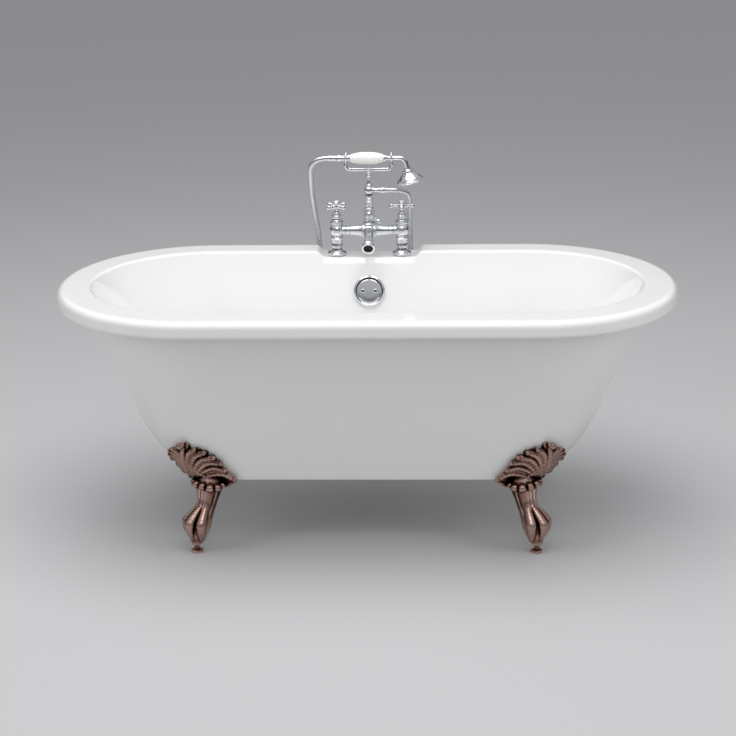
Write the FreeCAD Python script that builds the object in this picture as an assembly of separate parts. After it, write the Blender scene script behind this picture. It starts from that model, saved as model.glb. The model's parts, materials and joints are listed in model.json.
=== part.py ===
"""Double-ended roll-top bath on four claw feet, with a deck-mounted bath and shower mixer.

Millimetres, +Z up. The origin is on the floor under the middle of the bath, +X runs along the bath and
+Y towards the side that carries the mixer. Every sub-part is written to parts/NODE.step.
"""
import FreeCAD
import Part
import math
import os

Vector = FreeCAD.Vector
Z_AXIS = Vector(0, 0, 1)
X_AXIS = Vector(1, 0, 0)
Y_AXIS = Vector(0, 1, 0)

# ---- the bath: overall ---------------------------------------------------------------------------
BATH_LENGTH = 1600.0
BATH_WIDTH = 750.0
RIM_TOP = 655.0
RIM_DEPTH = 43.0          # height of the rolled rim's outer face, lip to top
RIM_WIDTH = 88.0          # outer face to the inner edge
RIM_TOP_RADIUS = 18.0
RIM_LIP_RADIUS = 10.0
RIM_INNER_RADIUS = 9.0
SHELL = 6.0               # thickness of the inner shell
LIP_SHELF = 4.0           # ledge inside the lip that the outer skin's flange lies on
SKIN = 4.0                # thickness of the outer skin
BOARD = 14.0              # thickness of the base board
BASE_HEIGHT = 183.0       # underside of the outer skin above the floor
SEAT_GAP = 0.3            # between curved faces that seat on each other

# ---- the bath: outer skin ------------------------------------------------------------------------
BODY_TOP_INSET_SIDE = 79.0      # top of the skin inside the rim's outer face, long sides
BODY_TOP_INSET_END = 78.0
BODY_FOOT_TAKE_IN_SIDE = 81.0   # foot of the skin inside its top, long sides
BODY_FOOT_TAKE_IN_END = 204.0
BODY_END_SLOPE = 20.4           # degrees from upright, straight upper part of each end
BODY_END_CURVE_RISE = 148.0     # height of each end's curved lower part

# ---- the bath: inside ----------------------------------------------------------------------------
WALL_SLOPE_HIGH = 20.0    # degrees from upright, long sides above the bend
WALL_SLOPE_LOW = 9.0
WALL_BEND_DROP = 185.0    # below the rim's top
CAVITY_END_SLOPE = 24.0
FLOOR_FILLET_SIDE = 70.0
FLOOR_FILLET_END = 120.0

# ---- tap deck ------------------------------------------------------------------------------------
DECK_DROP = 18.0          # below the rim's top
DECK_FLAT_MARGIN = 28.0   # flat of the deck beyond each pillar's axis
DECK_RAMP = 32.0
DECK_BOARD_MARGIN = 6.0

# ---- waste and overflow --------------------------------------------------------------------------
WASTE_INSET = 320.0       # from the rim's rear outer face
WASTE_FLANGE_RADIUS = 35.0
WASTE_FLANGE_THICKNESS = 2.5
WASTE_THROAT_RADIUS = 22.0
WASTE_THROAT_WALL = 2.5
WASTE_THROAT_LENGTH = 34.0
WASTE_CUP_WALL = 5.0
WASTE_CUP_DEPTH = 50.0
WASTE_SEAT_RADIUS = 34.0
WASTE_SEAT_THICKNESS = 7.0
WASTE_TAIL_RADIUS = 23.9  # 1 1/2 inch pipe thread, outside
WASTE_TAIL_BORE = 19.0
WASTE_TAIL_LENGTH = 36.0
WASTE_PORT_DROP = 35.0    # overflow port's axis below the shell's underside
WASTE_PORT_LENGTH = 56.0  # from the waste's axis
PLUG_RADIUS = 31.0
PLUG_THICKNESS = 3.0
PLUG_DOME = 4.0
PLUG_STEM_RADIUS = 5.0
PLUG_STEM_LENGTH = 26.0
PLUG_TRAVEL = 9.0
PLUG_SEAL_RADIUS = 1.6
CARTRIDGE_WEB = 4.0       # click cartridge's cross web
GASKET = 1.5
OVERFLOW_DROP = 104.0     # below the rim's top
OVERFLOW_PLATE_RADIUS = 43.0
OVERFLOW_PLATE_DEPTH = 9.0
OVERFLOW_DISC_RADIUS = 37.0
OVERFLOW_DISC_TILT = 7.0  # degrees, opens the crescent at the top
OVERFLOW_HOLE_RADIUS = 24.0
OVERFLOW_SCREW_SPACING = 35.0
OVERFLOW_SCREW_RADIUS = 2.5
OVERFLOW_CUP_RADIUS = 29.0
OVERFLOW_CUP_DEPTH = 13.0
OVERFLOW_CUP_WALL = 2.5
PIPE_RADIUS = 12.0
PIPE_WALL = 1.8
PIPE_TOP_DROP = 46.0      # below the overflow
PIPE_SKIN_GAP = 0.8
PIPE_NOTCH_GAP = 6.0
PIPE_BEND_RADIUS = 38.0
PIPE_SOCKET_WALL = 1.9
PIPE_SOCKET_LENGTH = 28.0
PIPE_FIT = 0.2
NOTCH_HALF_WIDTH = 60.0   # opening in the base for the waste and the overflow pipe
NOTCH_FRONT_MARGIN = 45.0 # in front of the waste
NOTCH_EDGE = 9.0          # behind the opening
BOARD_INSET = 10.0        # base board's edge inside the skin's foot

# ---- feet ----------------------------------------------------------------------------------------
PAD_INSET_END = 363.0     # from the rim's outer face
PAD_INSET_SIDE = 125.0
PAD_RADIUS = 15.0
PAD_THICKNESS = 7.0
STUD_RADIUS = 6.0
STUD_LENGTH = 58.0
STUD_CLEARANCE = 0.15
GLIDE_TRAVEL = 15.0
CLAW_BOTTOM = 30.0
LOCK_NUT_THICKNESS = 8.0
LOCK_NUT_RADIUS = 14.0
FOOT_BOLT_INSET_X = 89.0  # from the pad
FOOT_BOLT_INSET_Y = 100.0
FOOT_TAB_THICKNESS = 12.0
FOOT_TAB_RADIUS = 24.0
FOOT_BOLT_RADIUS = 5.0
FOOT_BOLT_FLATS = 17.0
FOOT_BOLT_HEAD = 6.4
FOOT_WASHER_RADIUS = 11.0
FOOT_WASHER_THICKNESS = 2.0
FOOT_BOLT_HOLE = 5.5
INSERT_RADIUS = 7.5
INSERT_FLANGE_RADIUS = 13.0
INSERT_FLANGE = 2.0
LEAF_THICKNESS = 9.0
LEAF_REACH = 75.0         # how far round the body's corner the leaf goes, from the claw's middle

# ---- mixer ---------------------------------------------------------------------------------------
PILLAR_SPACING = 180.0
MIXER_INSET = 56.0            # from the rim's outer face
PILLAR_GASKET = 1.5
PILLAR_FLANGE_RADIUS = 26.0
PILLAR_FLANGE_THICKNESS = 3.5
PILLAR_NECK_RADIUS = 13.0
PILLAR_NECK_HEIGHT = 24.0     # above the flange's underside
PILLAR_HEIGHT = 38.0
PILLAR_BORE = 8.0
TAIL_RADIUS = 13.2            # 3/4 inch pipe thread, outside
TAIL_LENGTH = 76.0
TAIL_CONNECTION = 36.0        # free lower length that the supply's connector screws on to
TAIL_RELIEF = 2.0             # groove above it
TAIL_HOLE_CLEARANCE = 1.0
BACKNUT_FLATS = 32.0
BACKNUT_THICKNESS = 8.0
UNION_NUT_WALL = 4.0
UNION_NUT_LENGTH = 22.0
HOUSING_RADIUS = 20.0
COLLAR_RADIUS = 18.0
HOUSING_TOP_ABOVE_AXIS = 27.0
HOUSING_CAVITY = 10.3
BRIDGE_RISE = 29.5            # axis of the bridge above the pillars
BRIDGE_ARM_RADIUS = 11.5
BRIDGE_FLARE_RADIUS = 19.0
BRIDGE_BORE = 6.0
CENTRE_RADIUS = 16.5
COLUMN_RADIUS = 12.0
COLUMN_RING_RADIUS = 13.5
COLUMN_RISE = 57.0            # column's top above the bridge's axis
COLUMN_BORE = 7.0
SPOUT_BOSS_RADIUS = 15.0
SPOUT_BOSS_LENGTH = 22.0
SPOUT_RADIUS = 16.0
SPOUT_COLLAR_RADIUS = 17.5
SPOUT_COLLAR_LENGTH = 9.0
SPOUT_BORE = 10.5
SPOUT_REACH = 97.0
SPOUT_DROP = 22.0
AERATOR_THICKNESS = 6.0
AERATOR_RECESS = 4.0
AERATOR_HOLE = 1.5
CARTRIDGE_CLEARANCE = 0.2
CARTRIDGE_NECK_RADIUS = 6.5
CARTRIDGE_NECK_HEIGHT = 12.0
SPINDLE_RADIUS = 4.0
SPINDLE_CLEARANCE = 0.08
BONNET_RADIUS = 11.0
BONNET_NECK_RADIUS = 6.5
BONNET_HEIGHT = 27.0
BONNET_WALL = 2.5
HANDLE_GAP = 2.0
HANDLE_HUB_RADIUS = 8.5
HANDLE_HUB_HEIGHT = 22.0
HANDLE_ARM_RADIUS = 3.2
HANDLE_BALL_RADIUS = 4.6
HANDLE_REACH = 29.0           # hub's axis to the middle of each ball
HANDLE_ARM_HEIGHT = 13.0      # above the hub's underside
HANDLE_LEFT_TURN = 45.0       # degrees, rest angle of the left crosshead
INDEX_RADIUS = 7.5
INDEX_HEIGHT = 8.0
DIVERTER_DROP = 10.0          # below the column's top
DIVERTER_BOSS_RADIUS = 8.0
DIVERTER_BOSS_LENGTH = 17.0   # from the column's axis
DIVERTER_SPINDLE_RADIUS = 3.0
DIVERTER_HUB_RADIUS = 6.5
DIVERTER_HUB_LENGTH = 7.0
DIVERTER_LEVER_LENGTH = 33.0
DIVERTER_LEVER_DROP = 33.0    # degrees below level at rest
DIVERTER_KNOB_RADIUS = 4.8
RISER_RADIUS = 8.0
RISER_RING_RADIUS = 11.5
RISER_LENGTH = 56.0           # column's top to the outlet's axis
OUTLET_BALL_RADIUS = 13.0
OUTLET_TUBE_RADIUS = 6.5
OUTLET_LENGTH = 27.0          # from the ball's centre
HOSE_NUT_RADIUS = 9.5
HOSE_NUT_LENGTH = 17.0

# ---- cradle and handset --------------------------------------------------------------------------
CRADLE_POST_RADIUS = 3.5
CRADLE_RING_RADIUS = 7.5
CRADLE_RING_SHARE = 0.43      # of the way from the outlet up to the handset
CRADLE_BAR_DROP = 31.0        # below the handset
CRADLE_BAR_RADIUS = 4.5
CRADLE_HALF_SPAN = 62.0
CRADLE_BEND = 12.0
FORK_RADIUS = 3.0
FORK_TIP_RISE = 9.0           # above the handset's axis
FORK_TIP_RADIUS = 4.2
FORK_CLEARANCE = 0.6
FORK_ROOT_DROP = 0.8          # bar's end below the lowest point of the fork's centre line
HANDSET_RISE = 89.0           # handset's axis above the outlet's
TAIL_PIECE_RADIUS = 9.0
TAIL_PIECE_LEFT = -88.0
GRIP_LEFT = -50.0
GRIP_RIGHT = 41.0
GRIP_RADIUS = 17.0
GRIP_END_RADIUS = 10.0
NECK_RADIUS = 6.5
NECK_CORE_RADIUS = 5.0
NECK_BORE = 3.6
NECK_STRAIGHT = 84.0          # where the neck starts to bend
NECK_BEND_RADIUS = 18.0
NECK_BEND_ANGLE = 76.5
NECK_DROP = 14.0
ROSE_TOP_RADIUS = 9.0
ROSE_RADIUS = 35.0
ROSE_HEIGHT = 40.0
ROSE_WALL = 2.0
ROSE_RIM = 7.0
ROSE_PLATE_THICKNESS = 3.0
ROSE_HOLE = 1.2

# ---- hose ----------------------------------------------------------------------------------------
HOSE_DIAMETER = 13.0
HOSE_CONE_LENGTH = 16.0
HOSE_STANDOFF = 29.0          # hanging loop behind the rim's outer face
HOSE_LOW = 254.0              # bottom of the loop above the floor


def hose_route():
    """Points of the hose's path, from the outlet's nut over the rear of the rim, down in a long loop behind
    the bath, and back up to the handset."""
    start = Vector(OUTLET_LENGTH - 2 + HOSE_NUT_LENGTH + SEAT_GAP / 3, MIXER_Y, OUTLET_HEIGHT)
    end = Vector(TAIL_PIECE_LEFT - HOSE_CONE_LENGTH - SEAT_GAP, MIXER_Y, HANDSET_HEIGHT)
    behind = BATH_WIDTH / 2 + HOSE_STANDOFF
    fall = OUTLET_HEIGHT - HOSE_LOW

    def hanging(x, beyond, share):
        """Point of the loop, at a share of its height."""
        return Vector(x, behind + beyond, HOSE_LOW + share * fall)

    return [
        start,
        start + Vector(24, 0, 0),
        start + Vector(47, 10, -5),
        start + Vector(63, 30, -16),
        start + Vector(68, 57, -41),
        start + Vector(69, 74, -84),
        hanging(112, -2, 0.754),
        hanging(114, 0, 0.651),
        hanging(115, -1, 0.533),
        hanging(117, 0, 0.400),
        hanging(112, 1, 0.262),
        hanging(92, 2, 0.138),
        hanging(46, 3, 0.039),
        hanging(-20, 3, 0.0),
        hanging(-84, 2, 0.042),
        hanging(-126, 1, 0.145),
        hanging(-144, 0, 0.273),
        hanging(-148, -1, 0.409),
        hanging(-146, -1, 0.542),
        hanging(-142, 0, 0.651),
        hanging(-146, -2, 0.750),
        end + Vector(-49, 77, -176),
        end + Vector(-56, 57, -115),
        end + Vector(-57, 35, -67),
        end + Vector(-57, 15, -29),
        end + Vector(-45, 6, -10),
        end + Vector(-24, 0, 0),
        end,
    ]


# ---- places that follow from the sizes above -----------------------------------------------------
WASTE_Y = BATH_WIDTH / 2 - WASTE_INSET
LIP_HEIGHT = RIM_TOP - RIM_DEPTH
FLANGE_HEIGHT = LIP_HEIGHT + SHELL            # top of the lip's ledge
BOARD_BOTTOM = BASE_HEIGHT + SKIN
SHELL_BOTTOM = BOARD_BOTTOM + BOARD
CAVITY_FLOOR = SHELL_BOTTOM + SHELL
HALF_STRAIGHT = (BATH_LENGTH - BATH_WIDTH) / 2
RIM_INNER = BATH_WIDTH / 2 - RIM_WIDTH
BODY_TOP_HALF_WIDTH = BATH_WIDTH / 2 - BODY_TOP_INSET_SIDE
BODY_TOP_HALF_LENGTH = BATH_LENGTH / 2 - BODY_TOP_INSET_END
BODY_FOOT_HALF_WIDTH = BODY_TOP_HALF_WIDTH - BODY_FOOT_TAKE_IN_SIDE
BODY_FOOT_HALF_LENGTH = BODY_TOP_HALF_LENGTH - BODY_FOOT_TAKE_IN_END
BODY_END_CURVE_HEIGHT = BASE_HEIGHT + BODY_END_CURVE_RISE
WALL_BEND_HEIGHT = RIM_TOP - WALL_BEND_DROP
OVERFLOW_HEIGHT = RIM_TOP - OVERFLOW_DROP
PIPE_TOP_HEIGHT = OVERFLOW_HEIGHT - PIPE_TOP_DROP
PORT_HEIGHT = SHELL_BOTTOM - WASTE_PORT_DROP
NOTCH_FRONT_Y = WASTE_Y - NOTCH_FRONT_MARGIN
NOTCH_BACK_Y = BODY_FOOT_HALF_WIDTH - NOTCH_EDGE
PIPE_CORNER_Y = NOTCH_BACK_Y - PIPE_NOTCH_GAP - PIPE_RADIUS
PAD_X = BATH_LENGTH / 2 - PAD_INSET_END
PAD_Y = BATH_WIDTH / 2 - PAD_INSET_SIDE
FOOT_BOLT_X = PAD_X - FOOT_BOLT_INSET_X
FOOT_BOLT_Y = PAD_Y - FOOT_BOLT_INSET_Y
DECK_HEIGHT = RIM_TOP - DECK_DROP
MIXER_Y = BATH_WIDTH / 2 - MIXER_INSET
PILLAR_X = PILLAR_SPACING / 2
DECK_FLAT_HALF = PILLAR_X + DECK_FLAT_MARGIN
PILLAR_BASE = DECK_HEIGHT + PILLAR_GASKET
PILLAR_TOP = PILLAR_BASE + PILLAR_HEIGHT
BRIDGE_HEIGHT = PILLAR_TOP + BRIDGE_RISE
HOUSING_TOP = BRIDGE_HEIGHT + HOUSING_TOP_ABOVE_AXIS
BONNET_TOP = HOUSING_TOP + BONNET_HEIGHT
HANDLE_BASE = BONNET_TOP + HANDLE_GAP
COLUMN_TOP = BRIDGE_HEIGHT + COLUMN_RISE
DIVERTER_HEIGHT = COLUMN_TOP - DIVERTER_DROP
OUTLET_HEIGHT = COLUMN_TOP + RISER_LENGTH
HANDSET_HEIGHT = OUTLET_HEIGHT + HANDSET_RISE
CRADLE_BAR_HEIGHT = HANDSET_HEIGHT - CRADLE_BAR_DROP
CRADLE_RING_HEIGHT = OUTLET_HEIGHT + CRADLE_RING_SHARE * HANDSET_RISE
FORK_TIP_HEIGHT = HANDSET_HEIGHT + FORK_TIP_RISE


# ---- helpers -------------------------------------------------------------------------------------
def polygon(points):
    """Closed face through the points."""
    return Part.Face(Part.makePolygon(list(points) + [points[0]]))


def turned(profile, x=0.0, y=0.0, z=0.0):
    """Solid turned about an upright axis, from (radius, height) points."""
    face = polygon([Vector(r, 0, h) for r, h in profile])
    solid = face.revolve(Vector(0, 0, 0), Z_AXIS, 360)
    return moved(solid, x, y, z)


def moved(shape, x=0.0, y=0.0, z=0.0):
    copy = shape.copy()
    copy.translate(Vector(x, y, z))
    return copy


def laid(shape, direction, origin):
    """Copy of a shape built about +Z, turned to point along direction and placed at origin."""
    copy = shape.copy()
    turn = FreeCAD.Rotation(Z_AXIS, Vector(*direction))
    copy.Placement = FreeCAD.Placement(Vector(*origin), turn).multiply(copy.Placement)
    return copy


def cylinder(radius, bottom, top, x=0.0, y=0.0):
    return Part.makeCylinder(radius, top - bottom, Vector(x, y, bottom))


def rod(radius, start, end):
    axis = Vector(*end) - Vector(*start)
    return Part.makeCylinder(radius, axis.Length, Vector(*start), axis)


def ball(radius, centre):
    return Part.makeSphere(radius, Vector(*centre))


def hexagon(flats, bottom, top, x=0.0, y=0.0):
    corner = flats / math.sqrt(3)
    points = [Vector(x + corner * math.cos(math.radians(60 * i)),
                     y + corner * math.sin(math.radians(60 * i)), bottom) for i in range(6)]
    return polygon(points).extrude(Vector(0, 0, top - bottom))


def ring(outer, inner, bottom, top, x=0.0, y=0.0):
    return cylinder(outer, bottom, top, x, y).cut(cylinder(inner, bottom - 1, top + 1, x, y))


def united(shapes):
    whole = shapes[0]
    if len(shapes) > 1:
        whole = whole.multiFuse(shapes[1:])
    return whole.removeSplitter()


def grouped(shapes):
    return Part.makeCompound(shapes)


def stadium(half_length, half_width, height):
    """Outline with two straight sides and two half-round ends."""
    s = half_length - half_width
    a, b = Vector(-s, -half_width, height), Vector(s, -half_width, height)
    c, d = Vector(s, half_width, height), Vector(-s, half_width, height)
    right = Part.Arc(b, Vector(half_length, 0, height), c).toShape()
    left = Part.Arc(d, Vector(-half_length, 0, height), a).toShape()
    return Part.Wire([Part.LineSegment(a, b).toShape(), right, Part.LineSegment(c, d).toShape(), left])


def lofted(outlines, straight):
    """Solid through outlines; straight joins them with flat bands, otherwise the surface is smooth."""
    return Part.makeLoft(outlines, True, straight, False)


def around_rim(profile):
    """Solid swept round the bath from a closed wire of the rim's section, drawn in the XZ plane
    with X measured outwards from the centre line of the straight sides."""
    face = Part.Face(profile)
    side = face.copy()
    side.rotate(Vector(0, 0, 0), Z_AXIS, 90)
    side.translate(Vector(HALF_STRAIGHT, 0, 0))
    rear = side.extrude(Vector(-2 * HALF_STRAIGHT, 0, 0))
    front = rear.mirror(Vector(0, 0, 0), Y_AXIS)
    start = face.copy()
    start.rotate(Vector(0, 0, 0), Z_AXIS, -90)
    end = start.revolve(Vector(0, 0, 0), Z_AXIS, 180)
    end.translate(Vector(HALF_STRAIGHT, 0, 0))
    other = end.mirror(Vector(0, 0, 0), X_AXIS)
    return united([rear, front, end, other])


def swept(section_radius, path):
    """Round bar along a wire."""
    first = path.OrderedEdges[0]
    start = first.valueAt(first.FirstParameter)
    tangent = first.tangentAt(first.FirstParameter)
    circle = Part.Wire(Part.makeCircle(section_radius, start, tangent))
    return path.makePipeShell([circle], True, True)


def mirrored_x(shape):
    return shape.mirror(Vector(0, 0, 0), X_AXIS)


def mirrored_y(shape):
    return shape.mirror(Vector(0, 0, 0), Y_AXIS)


# ---- forms of the bath ---------------------------------------------------------------------------
def body_at(height, offset=0.0):
    """Half length and half width of the outer skin's face at a height, moved outwards by offset."""
    slope = math.radians(BODY_END_SLOPE)
    side_run = (BODY_TOP_HALF_WIDTH - BODY_FOOT_HALF_WIDTH) / (FLANGE_HEIGHT - BASE_HEIGHT)
    half_width = BODY_FOOT_HALF_WIDTH + side_run * (height - BASE_HEIGHT)
    half_width += offset * math.hypot(1, side_run)
    curve_x = BODY_TOP_HALF_LENGTH - (FLANGE_HEIGHT - BODY_END_CURVE_HEIGHT) * math.tan(slope)
    dx, dz = BODY_FOOT_HALF_LENGTH - curve_x, BASE_HEIGHT - BODY_END_CURVE_HEIGHT
    radius = (dx * dx + dz * dz) / (2 * (-dx * math.cos(slope) + dz * math.sin(slope)))
    centre_x = curve_x - radius * math.cos(slope)
    centre_z = BODY_END_CURVE_HEIGHT + radius * math.sin(slope)
    if height >= BODY_END_CURVE_HEIGHT - offset * math.sin(slope):
        half_length = BODY_TOP_HALF_LENGTH - (FLANGE_HEIGHT - height) * math.tan(slope)
        half_length += offset / math.cos(slope)
    else:
        half_length = centre_x + math.sqrt((radius + offset) ** 2 - (centre_z - height) ** 2)
    return half_length, half_width


def body_solid(bottom, top, offset):
    """Everything inside the outer skin's face moved outwards by offset."""
    curve_top = BODY_END_CURVE_HEIGHT
    low = [bottom + (curve_top - bottom) * i / 6 for i in range(7)]
    lower = lofted([stadium(*body_at(z, offset), z) for z in low], False)
    upper = lofted([stadium(*body_at(z, offset), z) for z in (curve_top, top)], True)
    return united([lower, upper])


def cavity_at(height, offset=0.0):
    """Half length and half width of the bath's inside at a height, moved outwards by offset."""
    high, low = math.radians(WALL_SLOPE_HIGH), math.radians(WALL_SLOPE_LOW)
    bend_width = RIM_INNER - (RIM_TOP - WALL_BEND_HEIGHT) * math.tan(high)
    end = math.radians(CAVITY_END_SLOPE)
    end_length = HALF_STRAIGHT + RIM_INNER
    above = height - CAVITY_FLOOR

    def filleted(wall, wall_at_floor, angle, radius):
        flat = wall_at_floor - radius * math.tan((math.pi / 2 - angle) / 2)
        if above >= radius * (1 - math.sin(angle)) - offset * math.sin(angle):
            return wall + offset / math.cos(angle)
        return flat + math.sqrt(max((radius + offset) ** 2 - (radius - above) ** 2, 0.0))

    def side():
        if height >= WALL_BEND_HEIGHT:
            return RIM_INNER - (RIM_TOP - height) * math.tan(high) + offset / math.cos(high)
        wall = bend_width - (WALL_BEND_HEIGHT - height) * math.tan(low)
        at_floor = bend_width - (WALL_BEND_HEIGHT - CAVITY_FLOOR) * math.tan(low)
        return filleted(wall, at_floor, low, FLOOR_FILLET_SIDE)

    wall = end_length - (RIM_TOP - height) * math.tan(end)
    at_floor = end_length - (RIM_TOP - CAVITY_FLOOR) * math.tan(end)
    return filleted(wall, at_floor, end, FLOOR_FILLET_END), side()


def cavity_solid(top, offset):
    """The space inside the bath up to a height, moved outwards by offset."""
    turns = [0, 14, 28, 42, 56]
    fillet = [CAVITY_FLOOR - offset + FLOOR_FILLET_END * (1 - math.cos(math.radians(t))) for t in turns]
    walls = [fillet[-1], FLOOR_FILLET_END + CAVITY_FLOOR, WALL_BEND_HEIGHT, top]
    lower = lofted([stadium(*cavity_at(z, offset), z) for z in fillet], False)
    upper = lofted([stadium(*cavity_at(z, offset), z) for z in walls], True)
    return united([lower, upper])


def rim_outline():
    """Wire of the rim's outer form."""
    outer, inner = BATH_WIDTH / 2, RIM_INNER - SHELL
    top, lip = RIM_TOP_RADIUS, RIM_LIP_RADIUS
    k = 1 - math.cos(math.radians(45))
    a = Vector(inner, 0, LIP_HEIGHT)
    b = Vector(inner, 0, RIM_TOP)
    c = Vector(outer - top, 0, RIM_TOP)
    d = Vector(outer, 0, RIM_TOP - top)
    e = Vector(outer, 0, LIP_HEIGHT + lip)
    f = Vector(outer - lip, 0, LIP_HEIGHT)
    shoulder = Part.Arc(c, Vector(outer - top * k, 0, RIM_TOP - top * k), d)
    under = Part.Arc(e, Vector(outer - lip * k, 0, LIP_HEIGHT + lip * k), f)
    return Part.Wire([Part.LineSegment(a, b).toShape(), Part.LineSegment(b, c).toShape(),
                      shoulder.toShape(), Part.LineSegment(d, e).toShape(), under.toShape(),
                      Part.LineSegment(f, a).toShape()])


def rim_hollow():
    """Wire of the space inside the rolled rim, open downwards inside the lip."""
    inner = RIM_INNER - 2 * SHELL
    outer = BATH_WIDTH / 2 - SHELL
    ledge = outer - LIP_SHELF
    points = [(inner, LIP_HEIGHT - 1), (ledge, LIP_HEIGHT - 1), (ledge, FLANGE_HEIGHT),
              (outer, FLANGE_HEIGHT), (outer, RIM_TOP - SHELL), (inner, RIM_TOP - SHELL)]
    points = [Vector(x, 0, z) for x, z in points]
    return Part.makePolygon(points + [points[0]])


def deck_tool(drop):
    """Block whose lower face is the tap deck with its two ramps, lowered further by drop."""
    top, low = RIM_TOP - drop, DECK_HEIGHT - drop
    flat, end = DECK_FLAT_HALF, DECK_FLAT_HALF + DECK_RAMP
    radius = (DECK_RAMP ** 2 + DECK_DROP ** 2) / (4 * DECK_DROP)
    half_turn = math.asin(DECK_RAMP / 2 / radius) / 2
    dx, dz = radius * math.sin(half_turn), radius * (1 - math.cos(half_turn))
    middle = Vector((flat + end) / 2, 0, (top + low) / 2)
    high_arc = Part.Arc(Vector(end, 0, top), Vector(end - dx, 0, top - dz), middle)
    low_arc = Part.Arc(middle, Vector(flat + dx, 0, low + dz), Vector(flat, 0, low))
    right = [high_arc.toShape(), low_arc.toShape()]
    left = [edge.mirror(Vector(0, 0, 0), X_AXIS) for edge in right]
    ceiling = RIM_TOP + 20
    corners = [Vector(end, 0, top), Vector(end, 0, ceiling), Vector(-end, 0, ceiling), Vector(-end, 0, top)]
    lines = [Part.LineSegment(corners[i], corners[i + 1]).toShape() for i in range(3)]
    lines.append(Part.LineSegment(Vector(-flat, 0, low), Vector(flat, 0, low)).toShape())
    edges = Part.__sortEdges__(right + left + lines)
    face = Part.Face(Part.Wire(edges))
    block = face.extrude(Vector(0, BATH_WIDTH / 2 + 20 - (RIM_INNER - 3 * SHELL), 0))
    return moved(block, 0, RIM_INNER - 3 * SHELL, 0)


def at_pillars(make):
    return [make(side * PILLAR_X, MIXER_Y) for side in (-1, 1)]


def foot_bolt_places():
    return [(sx * FOOT_BOLT_X, sy * FOOT_BOLT_Y) for sy in (-1, 1) for sx in (-1, 1)]


def overflow_frame(shape):
    """Places a shape built about +Z on the rear inner wall at the overflow, +Z into the bath."""
    slope = math.radians(WALL_SLOPE_HIGH)
    wall_y = cavity_at(OVERFLOW_HEIGHT)[1]
    copy = shape.copy()
    copy.rotate(Vector(0, 0, 0), X_AXIS, 90 - math.degrees(slope))
    return moved(copy, 0, wall_y, OVERFLOW_HEIGHT)


def make_inner_shell():
    hollow = around_rim(rim_hollow()).cut(deck_tool(SHELL))
    rim = around_rim(rim_outline()).cut(hollow)
    walls = cavity_solid(RIM_TOP - SHELL / 2, SHELL)
    shell = rim.fuse(walls).cut(cavity_solid(RIM_TOP + 5, 0)).removeSplitter()
    edges = [edge for edge in shell.Edges
             if abs(edge.BoundBox.ZMin - RIM_TOP) < 0.01 and abs(edge.BoundBox.ZMax - RIM_TOP) < 0.01
             and edge.BoundBox.YMax < RIM_INNER + 0.5 and edge.BoundBox.YMin > -RIM_INNER - 0.5]
    shell = shell.makeFillet(RIM_INNER_RADIUS, edges)
    shell = shell.cut(deck_tool(0))
    holes = [cylinder(WASTE_THROAT_RADIUS + 1, SHELL_BOTTOM - 5, CAVITY_FLOOR + 5, 0, WASTE_Y)]
    holes.append(overflow_frame(cylinder(OVERFLOW_HOLE_RADIUS, -4 * SHELL, 4 * SHELL)))
    holes += tap_holes()
    return shell.cut(holes)


def tap_holes():
    radius = TAIL_RADIUS + TAIL_HOLE_CLEARANCE
    return at_pillars(lambda x, y: cylinder(radius, LIP_HEIGHT - 5, DECK_HEIGHT + 5, x, y))


def base_notch(bottom, top):
    return Part.makeBox(2 * NOTCH_HALF_WIDTH, NOTCH_BACK_Y - NOTCH_FRONT_Y, top - bottom,
                        Vector(-NOTCH_HALF_WIDTH, NOTCH_FRONT_Y, bottom))


def make_outer_skin():
    top = FLANGE_HEIGHT + SKIN
    outer = body_solid(BASE_HEIGHT, top, 0)
    reach = BATH_WIDTH / 2 - SHELL - SEAT_GAP
    flange = Part.Face(stadium(HALF_STRAIGHT + reach, reach, FLANGE_HEIGHT)).extrude(Vector(0, 0, SKIN))
    skin = outer.fuse(flange).cut(body_solid(BASE_HEIGHT + SKIN, top + 2, -SKIN))
    tools = [base_notch(BASE_HEIGHT - 1, BOARD_BOTTOM + 1)]
    tools += [cylinder(FOOT_BOLT_HOLE, BASE_HEIGHT - 1, BOARD_BOTTOM + 1, x, y)
              for x, y in foot_bolt_places()]
    return skin.cut(tools + tap_holes())


def make_base_board():
    half_length, half_width = BODY_FOOT_HALF_LENGTH - BOARD_INSET, BODY_FOOT_HALF_WIDTH - BOARD_INSET
    board = Part.Face(stadium(half_length, half_width, BOARD_BOTTOM)).extrude(Vector(0, 0, BOARD))
    tools = [base_notch(BOARD_BOTTOM - 1, SHELL_BOTTOM + 1)]
    for x, y in foot_bolt_places():
        tools.append(cylinder(INSERT_RADIUS + PIPE_FIT, BOARD_BOTTOM - 1, SHELL_BOTTOM + 1, x, y))
        tools.append(cylinder(INSERT_FLANGE_RADIUS + PIPE_FIT, SHELL_BOTTOM - INSERT_FLANGE,
                              SHELL_BOTTOM + 1, x, y))
    return board.cut(tools)


def make_deck_board():
    front = cavity_at(DECK_HEIGHT - SHELL, SHELL)[1] + SEAT_GAP
    back = BATH_WIDTH / 2 - SHELL - SEAT_GAP
    half = DECK_FLAT_HALF - DECK_BOARD_MARGIN
    bottom, top = FLANGE_HEIGHT + SKIN, DECK_HEIGHT - SHELL
    board = Part.makeBox(2 * half, back - front, top - bottom, Vector(-half, front, bottom))
    return board.cut(tap_holes())


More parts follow.
